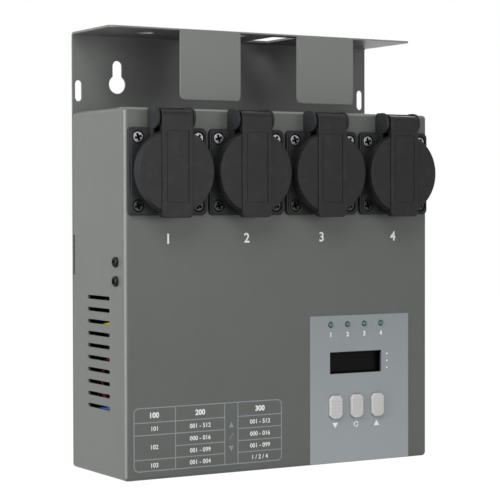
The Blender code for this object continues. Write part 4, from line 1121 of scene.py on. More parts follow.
@dataclass
class SteelCase(SubAssembly):
    """The folded sheet case, open at the back, with its openings."""

    bend_steps: int = 8
    vents: int = 10
    vent_pitch: float = 6.97 * MM
    vent: Point = (28.4 * MM, 2.3 * MM)
    vent_from_front: float = 19.4 * MM
    vent_height: float = 39.3 * MM
    notch: Point = (4.0 * MM, 23.3 * MM)
    notch_height: float = 126.0 * MM
    socket_bore: float = 21.9 * MM
    connector_bore: float = 11.7 * MM
    breaker_bore: float = 5.8 * MM
    gland_bore: float = 8.1 * MM
    latch_notch: Point = (9.2 * MM, 5.0 * MM)
    latch_notch_height: float = 75.7 * MM
    stud_reach: float = 9.5 * MM

    def build(self) -> None:
        """The case as one folded and pierced sheet, and the studs behind its panel."""
        case = self.shell().cut(self.front_cuts()).cut(self.left_cuts()).cut(*self.right_cuts())
        self.place("folded_case", case, self.finishes.paint, ["front_cover"])
        top = -PLAN.front - PLAN.sheet
        studs = board_studs("control_board", top - self.stud_reach, top - 0.02 * MM)
        self.place("panel_studs", studs, self.finishes.bright)

    def shell(self) -> Solid:
        """The box with its bent front edges, hollowed from behind.

        Returns:
            The box.
        """
        rear, sheet, middle = PLAN.plate_front - FIT, PLAN.sheet, PLAN.height / 2
        outline = Outline.rounded(PLAN.width, PLAN.height, PLAN.corner, 8).at(0, middle)
        box = Solid.block(outline, -rear, -PLAN.front, rim=PLAN.bend, steps=self.bend_steps)
        width, height, corner = PLAN.width - 2 * sheet, PLAN.height - 2 * sheet, PLAN.corner - sheet
        inner = Outline.rounded(width, height, corner, 4).at(0, middle)
        return box.cut(Solid.block(inner, -rear - BEYOND, -PLAN.front - sheet, rim=PLAN.bend - sheet))

    def front_cuts(self) -> Solid:
        """Everything that is cut in the front.

        Returns:
            The cutters.
        """
        outlines = PLAN.panel_openings(FIT)
        screw = Outline.circle(PLAN.screw_hole, 16)
        for x in PLAN.socket_places():
            outlines.append(Outline.circle(self.socket_bore).at(x, PLAN.socket_height))
            outlines += [screw.at(x + dx, PLAN.socket_height + dz) for dx, dz in PLAN.screw_places().values()]
        return Solid.through(outlines, -PLAN.front)

    def left_cuts(self) -> Solid:
        """Vents, screw holes and the notch at the rear of the left side.

        Returns:
            The cutters.
        """
        vent = Outline.rounded(*self.vent, self.vent[1] / 2 - 0.3 * MM, 4)
        middle = -(PLAN.front + self.vent_from_front + self.vent[0] / 2)
        outlines = [vent.at(middle, self.vent_height + self.vent_pitch * row) for row in range(self.vents)]
        screw = Outline.circle(PLAN.screw_hole, 16)
        outlines += [screw.at(-PLAN.front - back, height) for back, height in PLAN.pan_screws]
        notch = Outline.rounded(*self.notch, 0.5 * MM, 3).at(FIT - PLAN.plate_front, self.notch_height)
        return Solid.through([*outlines, notch], PLAN.side, Face.LEFT)

    def right_cuts(self) -> list[Solid]:
        """Holes for the connectors, the breaker and the gland, and apart from them the latch's notch.

        Returns:
            The cutters of the holes, and the notch's.
        """
        bores = (
            (self.connector_bore, 40, PLAN.inlet_height),
            (self.connector_bore, 40, PLAN.outlet_height),
            (self.breaker_bore, 32, PLAN.breaker_height),
            (self.gland_bore, 32, PLAN.gland_height),
        )
        back = PLAN.fittings_back
        holes = [Outline.circle(radius, sides).at(back, height) for radius, sides, height in bores]
        notch = Outline.rounded(*self.latch_notch, 0.5 * MM, 3).at(back, self.latch_notch_height)
        return [Solid.through(outlines, PLAN.side, Face.RIGHT) for outlines in (holes, [notch])]


@dataclass
class WallBracket(SubAssembly):
    """The wall plate, the flange bent forward over the case, and the two tabs bent down from it."""

    top: float = 257.0 * MM
    foot: float = 0.02 * MM
    tab_face: float = -19.0 * MM
    tab_foot: float = 215.3 * MM
    tab_width: float = 40.0 * MM
    tab_gap: float = 39.4 * MM
    tab_corner: float = 4.0 * MM
    front_corner: float = 6.0 * MM
    bend_steps: int = 8
    edge_bevel: float = 0.12 * MM
    keyhole: Place = (11.0 * MM, 6.2 * MM, 11.0 * MM)
    keyhole_spread: float = 148.8 * MM
    keyhole_height: float = 227.1 * MM
    edge_slot: Point = (4.4 * MM, 12.5 * MM)
    edge_slot_inset: float = 3.9 * MM
    edge_slot_height: float = 222.7 * MM
    bolt_hole: float = 10.5 * MM
    bolt_spread: float = 139.0 * MM
    bolt_from_wall: float = 28.0 * MM
    clamp_slot: Point = (16.5 * MM, 34.5 * MM)
    clamp_spread: float = 34.4 * MM
    clamp_from_wall: float = 25.7 * MM
    lug_height: float = 25.0 * MM
    lug_from_front: float = 4.7 * MM
    stud_reach: float = 6.0 * MM

    def build(self) -> None:
        """The bent plate with its lugs and the standoffs of the relay board."""
        strip = Solid.block(self.profile(), -PLAN.side, PLAN.side, Face.RIGHT)
        bent = strip.cut(self.plate_cuts()).cut(self.flange_cuts()).cut(*self.leg_cuts())
        plate, paint = bent.joined(self.lug(-1), self.lug(1)), self.finishes.plate_paint
        self.place("wall_plate_and_bracket", plate, paint, ["rear_chassis"], bevel=self.edge_bevel)
        face = -PLAN.plate_front
        studs = board_studs("relay_board", face + 0.02 * MM, face + self.stud_reach)
        self.place("relay_board_studs", studs, self.finishes.bright)

    def profile(self) -> Outline:
        """Plate, flange and front leg, seen from the right side.

        Returns:
            The outline.
        """
        sheet, bend, steps = PLAN.sheet, PLAN.bend, self.bend_steps
        rear, front = (PLAN.wall - bend, self.top - bend), (self.tab_face + bend, self.top - bend)
        outside = arc(rear, bend, 0, 90, steps) + arc(front, bend, 90, 180, steps)
        leg = [(self.tab_face, self.tab_foot), (self.tab_face + sheet, self.tab_foot)]
        inside = arc(front, bend - sheet, 180, 90, steps) + arc(rear, bend - sheet, 90, 0, steps)
        return Outline.of([(PLAN.wall, self.foot), *outside, *leg, *inside, (PLAN.plate_front, self.foot)])

    def keyhole_outline(self) -> Outline:
        """A round head with a narrower neck above it.

        Returns:
            The outline about the head's middle.
        """
        size, neck, length = self.keyhole
        turn = math.degrees(math.asin(neck / size))
        head = arc((0, 0), size / 2, 90 + turn, 450 - turn, 32)
        return Outline.of(head + arc((0, length), neck / 2, 0, 180, 12))

    def plate_cuts(self) -> Solid:
        """What is cut from the plate: lower corners, keyholes and edge slots.

        Returns:
            The cutters.
        """
        outlines: list[Outline] = []
        for side in SIDES:
            outlines.append(Outline.corner_waste((side * PLAN.side, 0), PLAN.corner, side, -1))
            outlines.append(self.keyhole_outline().at(side * self.keyhole_spread / 2, self.keyhole_height))
            across = side * (PLAN.side - self.edge_slot_inset)
            outlines.append(Outline.slot(*self.edge_slot).at(across, self.edge_slot_height))
        return Solid.blocks(outlines, -PLAN.wall - BEYOND, -PLAN.plate_front + BEYOND)

    def flange_cuts(self) -> Solid:
        """What is cut from the flange: front corners, bolt holes and clamp slots.

        Returns:
            The cutters.
        """
        outlines: list[Outline] = []
        for side in SIDES:
            corner = (side * PLAN.side, self.tab_face)
            outlines.append(Outline.corner_waste(corner, self.front_corner, side, -1))
            bolt = (side * self.bolt_spread / 2, PLAN.wall - self.bolt_from_wall)
            outlines.append(Outline.circle(self.bolt_hole / 2, 40).at(*bolt))
            clamp = (side * self.clamp_spread / 2, PLAN.wall - self.clamp_from_wall)
            outlines.append(Outline.rounded(*self.clamp_slot, 0.8 * MM, 3).at(*clamp))
        return Solid.through(outlines, self.top, Face.TOP)

    def leg_cuts(self) -> list[Solid]:
        """What is cut from the front leg to leave two tabs with round lower corners.

        Beside the tabs the flange ends square, so the bend's outer corner is cut back level with its edge.

        Returns:
            The cutters of the leg, and those of the tabs' corners.
        """
        inner, outer, face = self.tab_gap / 2, self.tab_gap / 2 + self.tab_width, self.tab_face
        foot, radius = self.tab_foot, self.tab_corner
        gaps = ((-PLAN.side - BEYOND, -outer), (-inner, inner), (outer, PLAN.side + BEYOND))
        waste = [Outline.span(gap, (face - BEYOND, face + PLAN.bend)) for gap in gaps]
        edges = ((-outer, -1), (-inner, 1), (inner, -1), (outer, 1))
        corners = [Outline.corner_waste((edge, foot), radius, side, -1) for edge, side in edges]
        leg = Solid.blocks(waste, foot - BEYOND, self.top - PLAN.sheet, Face.TOP)
        return [leg, Solid.through(corners, -face)]

    def lug(self, side: int) -> Solid:
        """A strip on the plate just inside a case wall, which takes the side screws.

        Args:
            side: -1 for the left side, 1 for the right.

        Returns:
            The strip with its two holes.
        """
        outer = PLAN.side - PLAN.sheet - FIT
        middle = (PLAN.pan_screws[0][1] + PLAN.pan_screws[1][1]) / 2
        upright = (middle - self.lug_height / 2, middle + self.lug_height / 2)
        outline = Outline.span((PLAN.front + self.lug_from_front, PLAN.plate_front + PLAN.sheet / 2), upright)
        low, high = sorted((side * outer, side * (outer - PLAN.sheet)))
        hole = Outline.circle(PLAN.screw_hole, 16)
        holes = [hole.at(PLAN.front + back, height) for back, height in PLAN.pan_screws]
        cuts = Solid.blocks(holes, low - BEYOND, high + BEYOND, Face.RIGHT)
        return Solid.block(outline, low, high, Face.RIGHT).cut(cuts)


@dataclass
class SocketPart(SubAssembly):
    """What a mains socket shares with its lid: the place, the collar, and the hinge seen from the right.

    Each is drawn about the panel's face at the socket's middle.
    """

    number: int = 1
    x: float = 0.0
    collar: Point = (22.3 * MM, 10.7 * MM)
    hinge: Point = (-7.0 * MM, 30.1 * MM)
    pin_hole: float = 1.3 * MM

    def here(self, solid: Solid) -> Solid:
        """A solid moved from the socket's own frame to its place."""
        return solid.moved(self.x, PLAN.front, PLAN.socket_height)

    def hinge_hole(self, half: float) -> Solid:
        """What cuts the pin's hole, so far to each side."""
        return Solid.block(Outline.circle(self.pin_hole, 24).at(*self.hinge), -half, half, Face.RIGHT)


@dataclass
class MainsSocket(SocketPart):
    """One mains socket: flange, collar, barrel, hinge ears, contacts and its four screws."""

    flange: float = 49.5 * MM
    flange_corner: float = 3.0 * MM
    flange_steps: tuple[Point, ...] = (
        (0.0, 0.3), (0.0, 2.15), (0.12, 2.4), (0.4, 2.5), (1.0, 2.52), (1.06, 2.9), (1.18, 3.1), (1.45, 3.2),
    )
    barrel: Point = (21.6 * MM, 24.0 * MM)
    recess: Point = (19.4 * MM, 17.5 * MM)
    contact_spread: float = 19.0 * MM
    contact_hole: float = 5.6 * MM
    clip_section: tuple[Point, ...] = ((0.2, 0.1), (2.9, 3.0), (3.1, 7.0), (2.2, 12.0), (0.75, 14.5))
    clip_half: float = 2.6 * MM
    ear_inner: float = 10.5 * MM
    ear_outer: float = 12.1 * MM
    ear_radius: float = 6.25 * MM
    ear_corner: float = 2.5 * MM
    ear_leg: float = 3.2 * MM
    ear_blind: float = 0.45 * MM
    web_rise: float = 5.9 * MM
    web_thickness: float = 1.2 * MM
    screw_top: float = 2.975 * MM
    screw_head: float = 6.0 * MM
    screw_shank: float = 2.9 * MM
    countersink_gap: float = 0.8 * MM
    countersink_depth: float = 0.9 * MM
    recess_depth: float = 2.3 * MM
    cross_turns: Point = (17.0, 62.0)

    @property
    def floor(self) -> float:
        """The height of the recess's floor."""
        return self.collar[1] - self.recess[1]

    def build(self) -> None:
        """The housing, its metal parts and its screws."""
        name = f"socket_{self.number}"
        self.place(f"{name}_housing", self.here(self.housing()), self.finishes.socket, [f"{name}_body"])
        self.place(f"{name}_contacts", self.here(self.contacts()), self.finishes.brass)
        self.place(f"{name}_earth_clips", self.here(self.earth_clips()), self.finishes.bright)
        for corner, (dx, dz) in PLAN.screw_places().items():
            # The lower screws take a darker copy of the screw steel: painted shade, as less light falls on
            # them.
            finish = self.finishes.screw if corner.startswith("upper") else self.finishes.dull
            screw = self.screw(self.cross_turns[corner.endswith("right")]).moved(x=dx, z=dz)
            self.place(f"{name}_countersunk_{corner}", self.here(screw), finish, [f"{name}_screw_{corner}"])

    def housing(self) -> Solid:
        """The moulded body.

        Returns:
            The body with its recess and holes.
        """
        (radius, rise), reach, floor = self.collar, self.recess[0], self.floor
        lip = offsets((radius, rise), (0, -0.7), (-0.2, -0.2), (-0.7, 0))
        collar = Solid.turned([(radius, 0.9 * MM), *lip], sides=64)
        barrel = Solid.turned([(self.barrel[0], -self.barrel[1]), (self.barrel[0], 1.5 * MM)], sides=64)
        body = self.flange_block().joined(collar, barrel, *self.ears(), self.web())
        mouth = [*offsets((reach, rise), (0, -0.5), (0.5, 0)), (reach + 0.5 * MM, rise + BEYOND)]
        bore = Solid.turned(offsets((reach, floor), (-0.5, 0), (0, 0.5)) + mouth, sides=64)
        body = body.cut(bore).cut(self.contact_cuts()).cut(self.screw_cuts())
        rib = Outline.rounded(2.4 * MM, 5.0 * MM, 0.5 * MM, 3)
        ribs = [
            Solid.block(rib.at(side * (reach - 0.6 * MM), 0), floor - 0.6 * MM, rise - 0.8 * MM, rim=0.3 * MM)
            for side in SIDES
        ]
        return body.cut(self.hinge_hole(self.ear_outer - self.ear_blind)).joined(*ribs)

    def flange_block(self) -> Solid:
        """The square flange with a stepped, softened edge."""
        outline = Outline.rounded(self.flange, self.flange, self.flange_corner, 8)
        return Solid.stack([(outline.inset(inset), height) for inset, height in mm(*self.flange_steps)])

    def ears(self) -> list[Solid]:
        """The two hinge ears and the ribs that run down from them to the collar.

        Returns:
            Both ears and both ribs.
        """
        foot = self.flange / 2 - self.ear_leg
        back = (-FIT - self.ear_corner, self.hinge[1] + self.ear_radius - self.ear_corner)
        curve = arc(back, self.ear_corner, 0, 90, 6) + arc(self.hinge, self.ear_radius, 90, 270, 24)
        ear = Outline.of([(-FIT, foot), *curve, (-3.2 * MM, foot)])
        leg = Outline.span((self.hinge[0] + FIT, -2.6 * MM), (self.collar[0] / 2, self.flange / 2 + 0.6 * MM))
        made: list[Solid] = []
        for side in SIDES:
            low, high = sorted((side * self.ear_inner, side * self.ear_outer))
            made.append(Solid.block(ear, low, high, Face.RIGHT, rim=0.3 * MM, foot=0.3 * MM))
            made.append(Solid.block(leg, low + 0.05 * MM, high - 0.05 * MM, Face.RIGHT))
        return made

    def web(self) -> Solid:
        """The thin wall behind the strap, between the ears.

        Returns:
            The wall.
        """
        reach = self.ear_inner + 0.6 * MM
        upright = (self.flange / 2 - self.ear_leg, self.hinge[1] + self.web_rise)
        return Solid.block(Outline.span((-reach, reach), upright), FIT, FIT + self.web_thickness)

    def pair(self, profile: Sequence[Point], looped: bool = False) -> Solid:
        """A round form at each of the two contacts."""
        spots = [(side * self.contact_spread / 2, 0.0) for side in SIDES]
        return Solid.group(Solid.turned(profile, sides=24, middle=spot, looped=looped) for spot in spots)

    def contact_cuts(self) -> Solid:
        """The holes for the plug's pins, with their lead-ins, and the chambers behind them."""
        base = (self.contact_hole / 2, self.floor)
        return self.pair(offsets(base, (0, -6.0), (0, -0.8), (0.8, 0), (0.8, 1.0)))

    def contacts(self) -> Solid:
        """Brass tubes behind the pin holes.

        Returns:
            Both tubes.
        """
        base = (self.contact_hole / 2, self.floor - 0.9 * MM)
        section = offsets(base, (-0.12, -4.9), (-0.12, -0.3), (-0.75, 0), (-0.75, -4.9))
        return self.pair(section, looped=True)

    def screw_cuts(self) -> Solid:
        """Holes and countersinks for the four screws.

        Returns:
            The cutters.
        """
        wide, narrow = self.screw_head / 2 + self.countersink_gap, PLAN.screw_hole
        seat = self.screw_top - self.countersink_depth
        profile = [(narrow, -BEYOND), (narrow, seat - wide + narrow), (wide, seat), (wide, BEYOND)]
        spots = PLAN.screw_places().values()
        return Solid.group(Solid.turned(profile, sides=32, middle=spot) for spot in spots)

    def earth_clips(self) -> Solid:
        """Two sprung earth strips, bent over the upper and lower wall of the recess.

        Returns:
            Both strips.
        """
        inner = mm(*self.clip_section)
        section = [*inner, *((back - 0.65 * MM, rise) for back, rise in reversed(inner))]
        edge = self.recess[0] - 0.1 * MM
        upper = Outline.of((-self.floor - rise, edge - back) for back, rise in section)
        lower = Outline.of((x, -y) for x, y in upper.points)
        return Solid.blocks([lower, upper], -self.clip_half, self.clip_half, Face.RIGHT)

    def screw(self, turn: float) -> Solid:
        """A countersunk screw with a cross recess.

        Args:
            turn: How far its cross is turned, in degrees.

        Returns:
            The screw.
        """
        head, shank, top = self.screw_head / 2, self.screw_shank / 2, self.screw_top
        stem = [(shank * 0.7, -7.0 * MM), (shank, -6.2 * MM), (shank, top - head + shank)]
        crown = offsets((head, top), (-0.1, -0.25), (0, -0.12), (-0.15, 0))
        return Solid.turned(stem + crown, sides=32).cut(cross_recess(top, self.recess_depth, turn))


def cross_recess(top: float, depth: float, turn: float, face: Face = Face.FRONT) -> Solid:
    """A tapered cross recess, to be cut into a screw's head.

    Args:
        top: The height of the head.
        depth: How deep the recess goes.
        turn: How far it is turned, in degrees.
        face: The face that the screw is in.

    Returns:
        The cutter.
    """
    taper = ((3.2, 1.1, top - depth), (4.5, 1.4, top), (4.8, 1.5, top + 1.0 * MM))
    layers = [(Outline.cross(arm * MM, width * MM).turned(turn), height) for arm, width, height in taper]
    return Solid.stack(layers, face)


@dataclass
class SprungLid(SocketPart):
    """A round sprung lid with its strap, gasket, hinge pin and spring."""

    radius: float = 24.5 * MM
    face: float = 13.2 * MM
    skirt: float = 9.1 * MM
    taper: float = 0.8 * MM
    strap_width: float = 19.4 * MM
    strap_front: float = 14.2 * MM
    strap_below: float = 26.0 * MM
    strap_corner: float = 2.5 * MM
    strap_edge: float = 0.5 * MM
    knuckle: float = 3.7 * MM
    head_rise: float = 4.5 * MM
    head_depth: float = 4.4 * MM
    head_round: float = 3.5 * MM
    pocket_radius: float = 2.5 * MM
    pocket_half: float = 4.5 * MM
    plate: Place = (14.0 * MM, 22.8 * MM, 17.6 * MM)
    plate_corner: float = 0.6 * MM
    plate_sunk: float = 0.42 * MM
    plate_gap: float = 0.28 * MM
    seal: Point = (18.5 * MM, 17.0 * MM)
    pin_half: float = 11.5 * MM
    spring_turns: int = 2
    spring_wire: float = 0.6 * MM
    spring_steps: int = 20
    hole_half: float = 20.0 * MM

    def build(self) -> None:
        """The lid, its gasket and plate, its pin and its spring."""
        lid, socket, made = f"lid_{self.number}", f"socket_{self.number}", self.finishes
        pin, spring = f"{socket}_hinge_pin", f"{socket}_lid_spring"
        pieces = (
            ("moulding", self.moulding(), made.lid, [f"{socket}_lid"], lid),
            ("plate", self.plate_panel(), made.lid, [], lid),
            ("gasket", self.gasket(), made.gasket, [], lid),
            ("axle", self.pin(), made.bright, [pin], frame_body(pin)),
            ("torsion_spring", self.coil(), made.spring, [spring], frame_body(spring)),
        )
        for name, solid, finish, replaced, body in pieces:
            self.place(f"{lid}_{name}", self.here(solid), finish, replaced, body)

    def moulding(self) -> Solid:
        """The lid in one piece.

        Returns:
            The lid with its well, its pin hole and the sinks for spring and plate.
        """
        radius, width, corner, below = self.radius, self.strap_width, self.strap_corner, self.strap_below
        skirt = offsets((radius, self.skirt), (-0.25, 0), (0, 0.3), (0, 1.2))
        rim = offsets((radius - self.taper, self.face), (0, -0.35), (-0.12, -0.1), (-0.4, 0))
        disc = Solid.turned(skirt + rim, sides=96)
        top = self.hinge[1] - self.knuckle
        outline = Outline.rounded(width, below + top, corner).at(0, (top - below) / 2)
        strap = Solid.block(outline, self.face - 0.6 * MM, self.strap_front, rim=self.strap_edge, steps=4)
        height = below - radius + 2 * corner
        end = Outline.rounded(width - 0.04 * MM, height, corner - FIT).at(0, height / 2 - below + 0.02 * MM)
        lip = Solid.block(end, self.skirt, self.face, foot=0.3 * MM)
        half = width / 2
        head = Solid.block(self.head_outline(), -half, half, Face.RIGHT, rim=0.4 * MM, foot=0.4 * MM)
        reach, rise = self.collar[0], self.collar[1] + FIT
        well = Solid.turned([(reach + FIT, -BEYOND), (reach + FIT, rise - 0.3 * MM), (reach, rise)], sides=96)
        lid = disc.joined(strap, lip, head).cut(well).cut(self.hinge_hole(self.hole_half))
        return lid.cut(self.pocket()).cut(self.plate_sink())

    def head_outline(self) -> Outline:
        """The strap's upper end and the knuckle round the pin, seen from the right side.

        Returns:
            The outline.
        """
        front, rear, bend = 0.02 * MM - self.strap_front, self.head_depth - self.strap_front, self.head_round
        crown = (bend - self.strap_front, self.hinge[1] + self.head_rise - bend)
        foot = self.radius - self.head_depth
        under = [(front, foot), (0.6 * MM - self.face, foot), (rear, self.radius)]
        knuckle = [(rear, self.hinge[1] - self.knuckle), *arc(self.hinge, self.knuckle, -90, 90, 16)]
        return Outline.of([*under, *knuckle, *arc(crown, bend, 90, 180, 10)[:-1], (front, crown[1])])

    def pocket(self) -> Solid:
        """The room for the spring inside the strap's upper end, open to the rear.

        Returns:
            The cutter.
        """
        (across, rise), reach, foot = self.hinge, self.pocket_radius, self.radius - 2.2 * MM
        over = arc(self.hinge, reach, 0, 180, 16)
        outline = Outline.of([(across - reach, foot), (BEYOND, foot), (BEYOND, rise), *over])
        return Solid.block(outline, -self.pocket_half, self.pocket_half, Face.RIGHT)

    def plate_outline(self, inset: float) -> Outline:
        """The long plate on the strap's face.

        Args:
            inset: How far it is drawn in.

        Returns:
            The outline.
        """
        (width, above, below), less = self.plate, 2 * inset
        plate = Outline.rounded(width - less, above + below - less, self.plate_corner, 3)
        return plate.at(0, (above - below) / 2)

    def plate_sink(self) -> Solid:
        """The shallow sink that the plate lies in."""
        front = self.strap_front
        return Solid.block(self.plate_outline(0), front - self.plate_sunk, front + BEYOND)

    def plate_panel(self) -> Solid:
        """The plate, a hair's breadth smaller than its sink and just below the strap's face."""
        low, high = self.strap_front - self.plate_sunk, self.strap_front - 0.16 * MM
        return Solid.block(self.plate_outline(self.plate_gap), low, high, rim=0.1 * MM, steps=2)

    def gasket(self) -> Solid:
        """The ring of rubber inside the lid, just within the recess.

        Returns:
            The ring.
        """
        (outer, inner), top = self.seal, self.collar[1] + FIT
        section = offsets((outer, top), (0, 0), (0, -1.0), (-0.3, -1.4))
        section += offsets((inner, top), (0.3, -1.4), (0, -1.0), (0, 0))
        return Solid.turned(section, sides=64, looped=True)

    def pin(self) -> Solid:
        """The hinge pin with rounded ends.

        Returns:
            The pin.
        """
        left = offsets((0, -self.pin_half), (0.7, 0), (1.0, 0.3))
        right = offsets((0, self.pin_half), (1.0, -0.3), (0.7, 0))
        return Solid.turned(left + right, Face.RIGHT, 24, self.hinge)

    def coil(self) -> Solid:
        """A torsion spring about the pin: a helix with a leg on the lid and one on the flange.

        Returns:
            The spring.
        """
        radius = 1.3 * MM + self.spring_wire / 2
        length = self.spring_turns * 2.6 * MM
        points = [Vector((-length / 2, -radius, -3.2 * MM))]
        total = self.spring_turns * self.spring_steps + self.spring_steps // 2
        for step in range(total + 1):
            turn = 2 * math.pi * (self.spring_turns + 0.5) * step / total
            along = -length / 2 + length * step / total
            points.append(Vector((along, -radius * math.cos(turn), radius * math.sin(turn))))
        points.append(Vector((length / 2, radius, -1.0 * MM)))
        return Solid.tube([point + Vector((0, *self.hinge)) for point in points], self.spring_wire / 2, 10)


def frame_body(node: str) -> str:
    """The body that a CAD node rides on."""
    return frame["nodes"][node]["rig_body"]


@dataclass
class SideScrews(SubAssembly):
    """The pan-head screws that hold the case to the plate's lugs, two at each side."""

    head: float = 6.0 * MM
    height: float = 2.0 * MM
    shank: float = 2.9 * MM
    reach: float = 7.0 * MM
    recess_depth: float = 1.2 * MM
    cross_turns: Point = (24.0, 51.0)

    def build(self) -> None:
        """The two screws of the left side, and their mirror images."""
        for level, turn, (back, height) in zip(("upper", "lower"), self.cross_turns, PLAN.pan_screws):
            left = self.screw(turn).moved(-PLAN.side, PLAN.front + back, height)
            self.place(f"pan_screw_left_{level}", left, self.finishes.black_steel, [f"side_screw_{level}"])
            self.place(f"pan_screw_right_{level}", left.mirrored(), self.finishes.black_steel)

    def screw(self, turn: float) -> Solid:
        """A pan-head screw with a cross recess, about the case wall's outer face.

        Args:
            turn: How far its cross is turned, in degrees.

        Returns:
            The screw.
        """
        head, shank, top = self.head / 2, self.shank / 2, self.height
        stem = [(shank * 0.6, -self.reach), (shank, 0.9 * MM - self.reach), (shank, 0.3 * MM)]
        rim = offsets((head, 0), (-0.15, 0.3), (0, 0.45), (0, 0.95))
        curve = ((0.965, 1.3), (0.87, 1.65), (0.70, 1.88))
        dome = [*((head * share, height * MM) for share, height in curve), (head * 0.45, top)]
        blank = Solid.turned(stem + rim + dome, Face.LEFT, 32)
        return blank.cut(cross_recess(top, self.recess_depth, turn, Face.LEFT))


@dataclass
class Print(SubAssembly):
    """Flat printing on the front: plain figures, marks and lines, each a hair's breadth thick."""

    ink_height: float = 0.03 * MM

    def figure(self, text: str, middle: Point, height: float, level: float, weight: float) -> Solid:
        """A plain figure as a thin mesh.

        Args:
            text: The figure.
            middle: Where its middle lies on the front, right and up.
            height: How tall it is.
            level: The height of the surface that it is printed on.
            weight: How much bolder it is than the plain face, as a share of its size.

        Returns:
            The figure.
        """
        curve = bpy.data.curves.new("figure", "FONT")
        curve.body = text
        curve.offset = weight
        curve.extrude = 0.5
        curve.resolution_u = 4
        helper = bpy.data.objects.new("figure", curve)
        bpy.context.scene.collection.objects.link(helper)
        graph = bpy.context.evaluated_depsgraph_get()
        mesh = bpy.data.meshes.new_from_object(helper.evaluated_get(graph))
        bpy.data.objects.remove(helper)
        across = [vertex.co.x for vertex in mesh.vertices]
        up = [vertex.co.y for vertex in mesh.vertices]
        scale = height / (max(up) - min(up))
        centre = Vector(((max(across) + min(across)) / 2, (max(up) + min(up)) / 2, -0.5))
        mesh.transform(Matrix.Translation(-centre))
        mesh.transform(Matrix.Diagonal((scale, scale, self.ink_height, 1)))
        mesh.transform(Face.FRONT.matrix)
        form = bmesh.new()
        form.from_mesh(mesh)
        bmesh.ops.remove_doubles(form, verts=form.verts, dist=1e-7)
        return Solid.of_form(form).moved(middle[0], PLAN.front - level, middle[1])

    def patch(self, outline: Outline, level: float) -> Solid:
        """A flat printed shape on a surface at this height."""
        return Solid.block(outline, level, level + self.ink_height).moved(y=PLAN.front)

    def triangle(self, middle: Point, size: Point, up: bool, level: float) -> Solid:
        """A printed triangle.

        Args:
            middle: Where its middle lies on the front.
            size: Its width and height.
            up: Whether it points up, and not down.
            level: The height of the surface that it is printed on.

        Returns:
            The triangle.
        """
        half, rise = size[0] / 2, size[1] / 2 if up else -size[1] / 2
        points = [(-half, -rise), (half, -rise), (0.0, rise)]
        return self.patch(Outline.of(points if up else points[::-1]).at(*middle), level)


@dataclass
class SocketNumerals(Print):
    """The plain figures 1 to 4 printed below the sockets."""

    numeral_height: float = 5.7 * MM
    middle_height: float = 136.1 * MM
    aside: float = 1.0 * MM
    weight: float = 0.02

    def build(self) -> None:
        """One figure for each socket, made as one print."""
        tall, weight = self.numeral_height, self.weight
        spots = [(x + self.aside, self.middle_height) for x in PLAN.socket_places()]
        figures = [self.figure(str(i), spot, tall, ON_PAINT, weight) for i, spot in enumerate(spots, 1)]
        self.place("socket_numerals", Solid.group(figures), self.finishes.mark_ink)


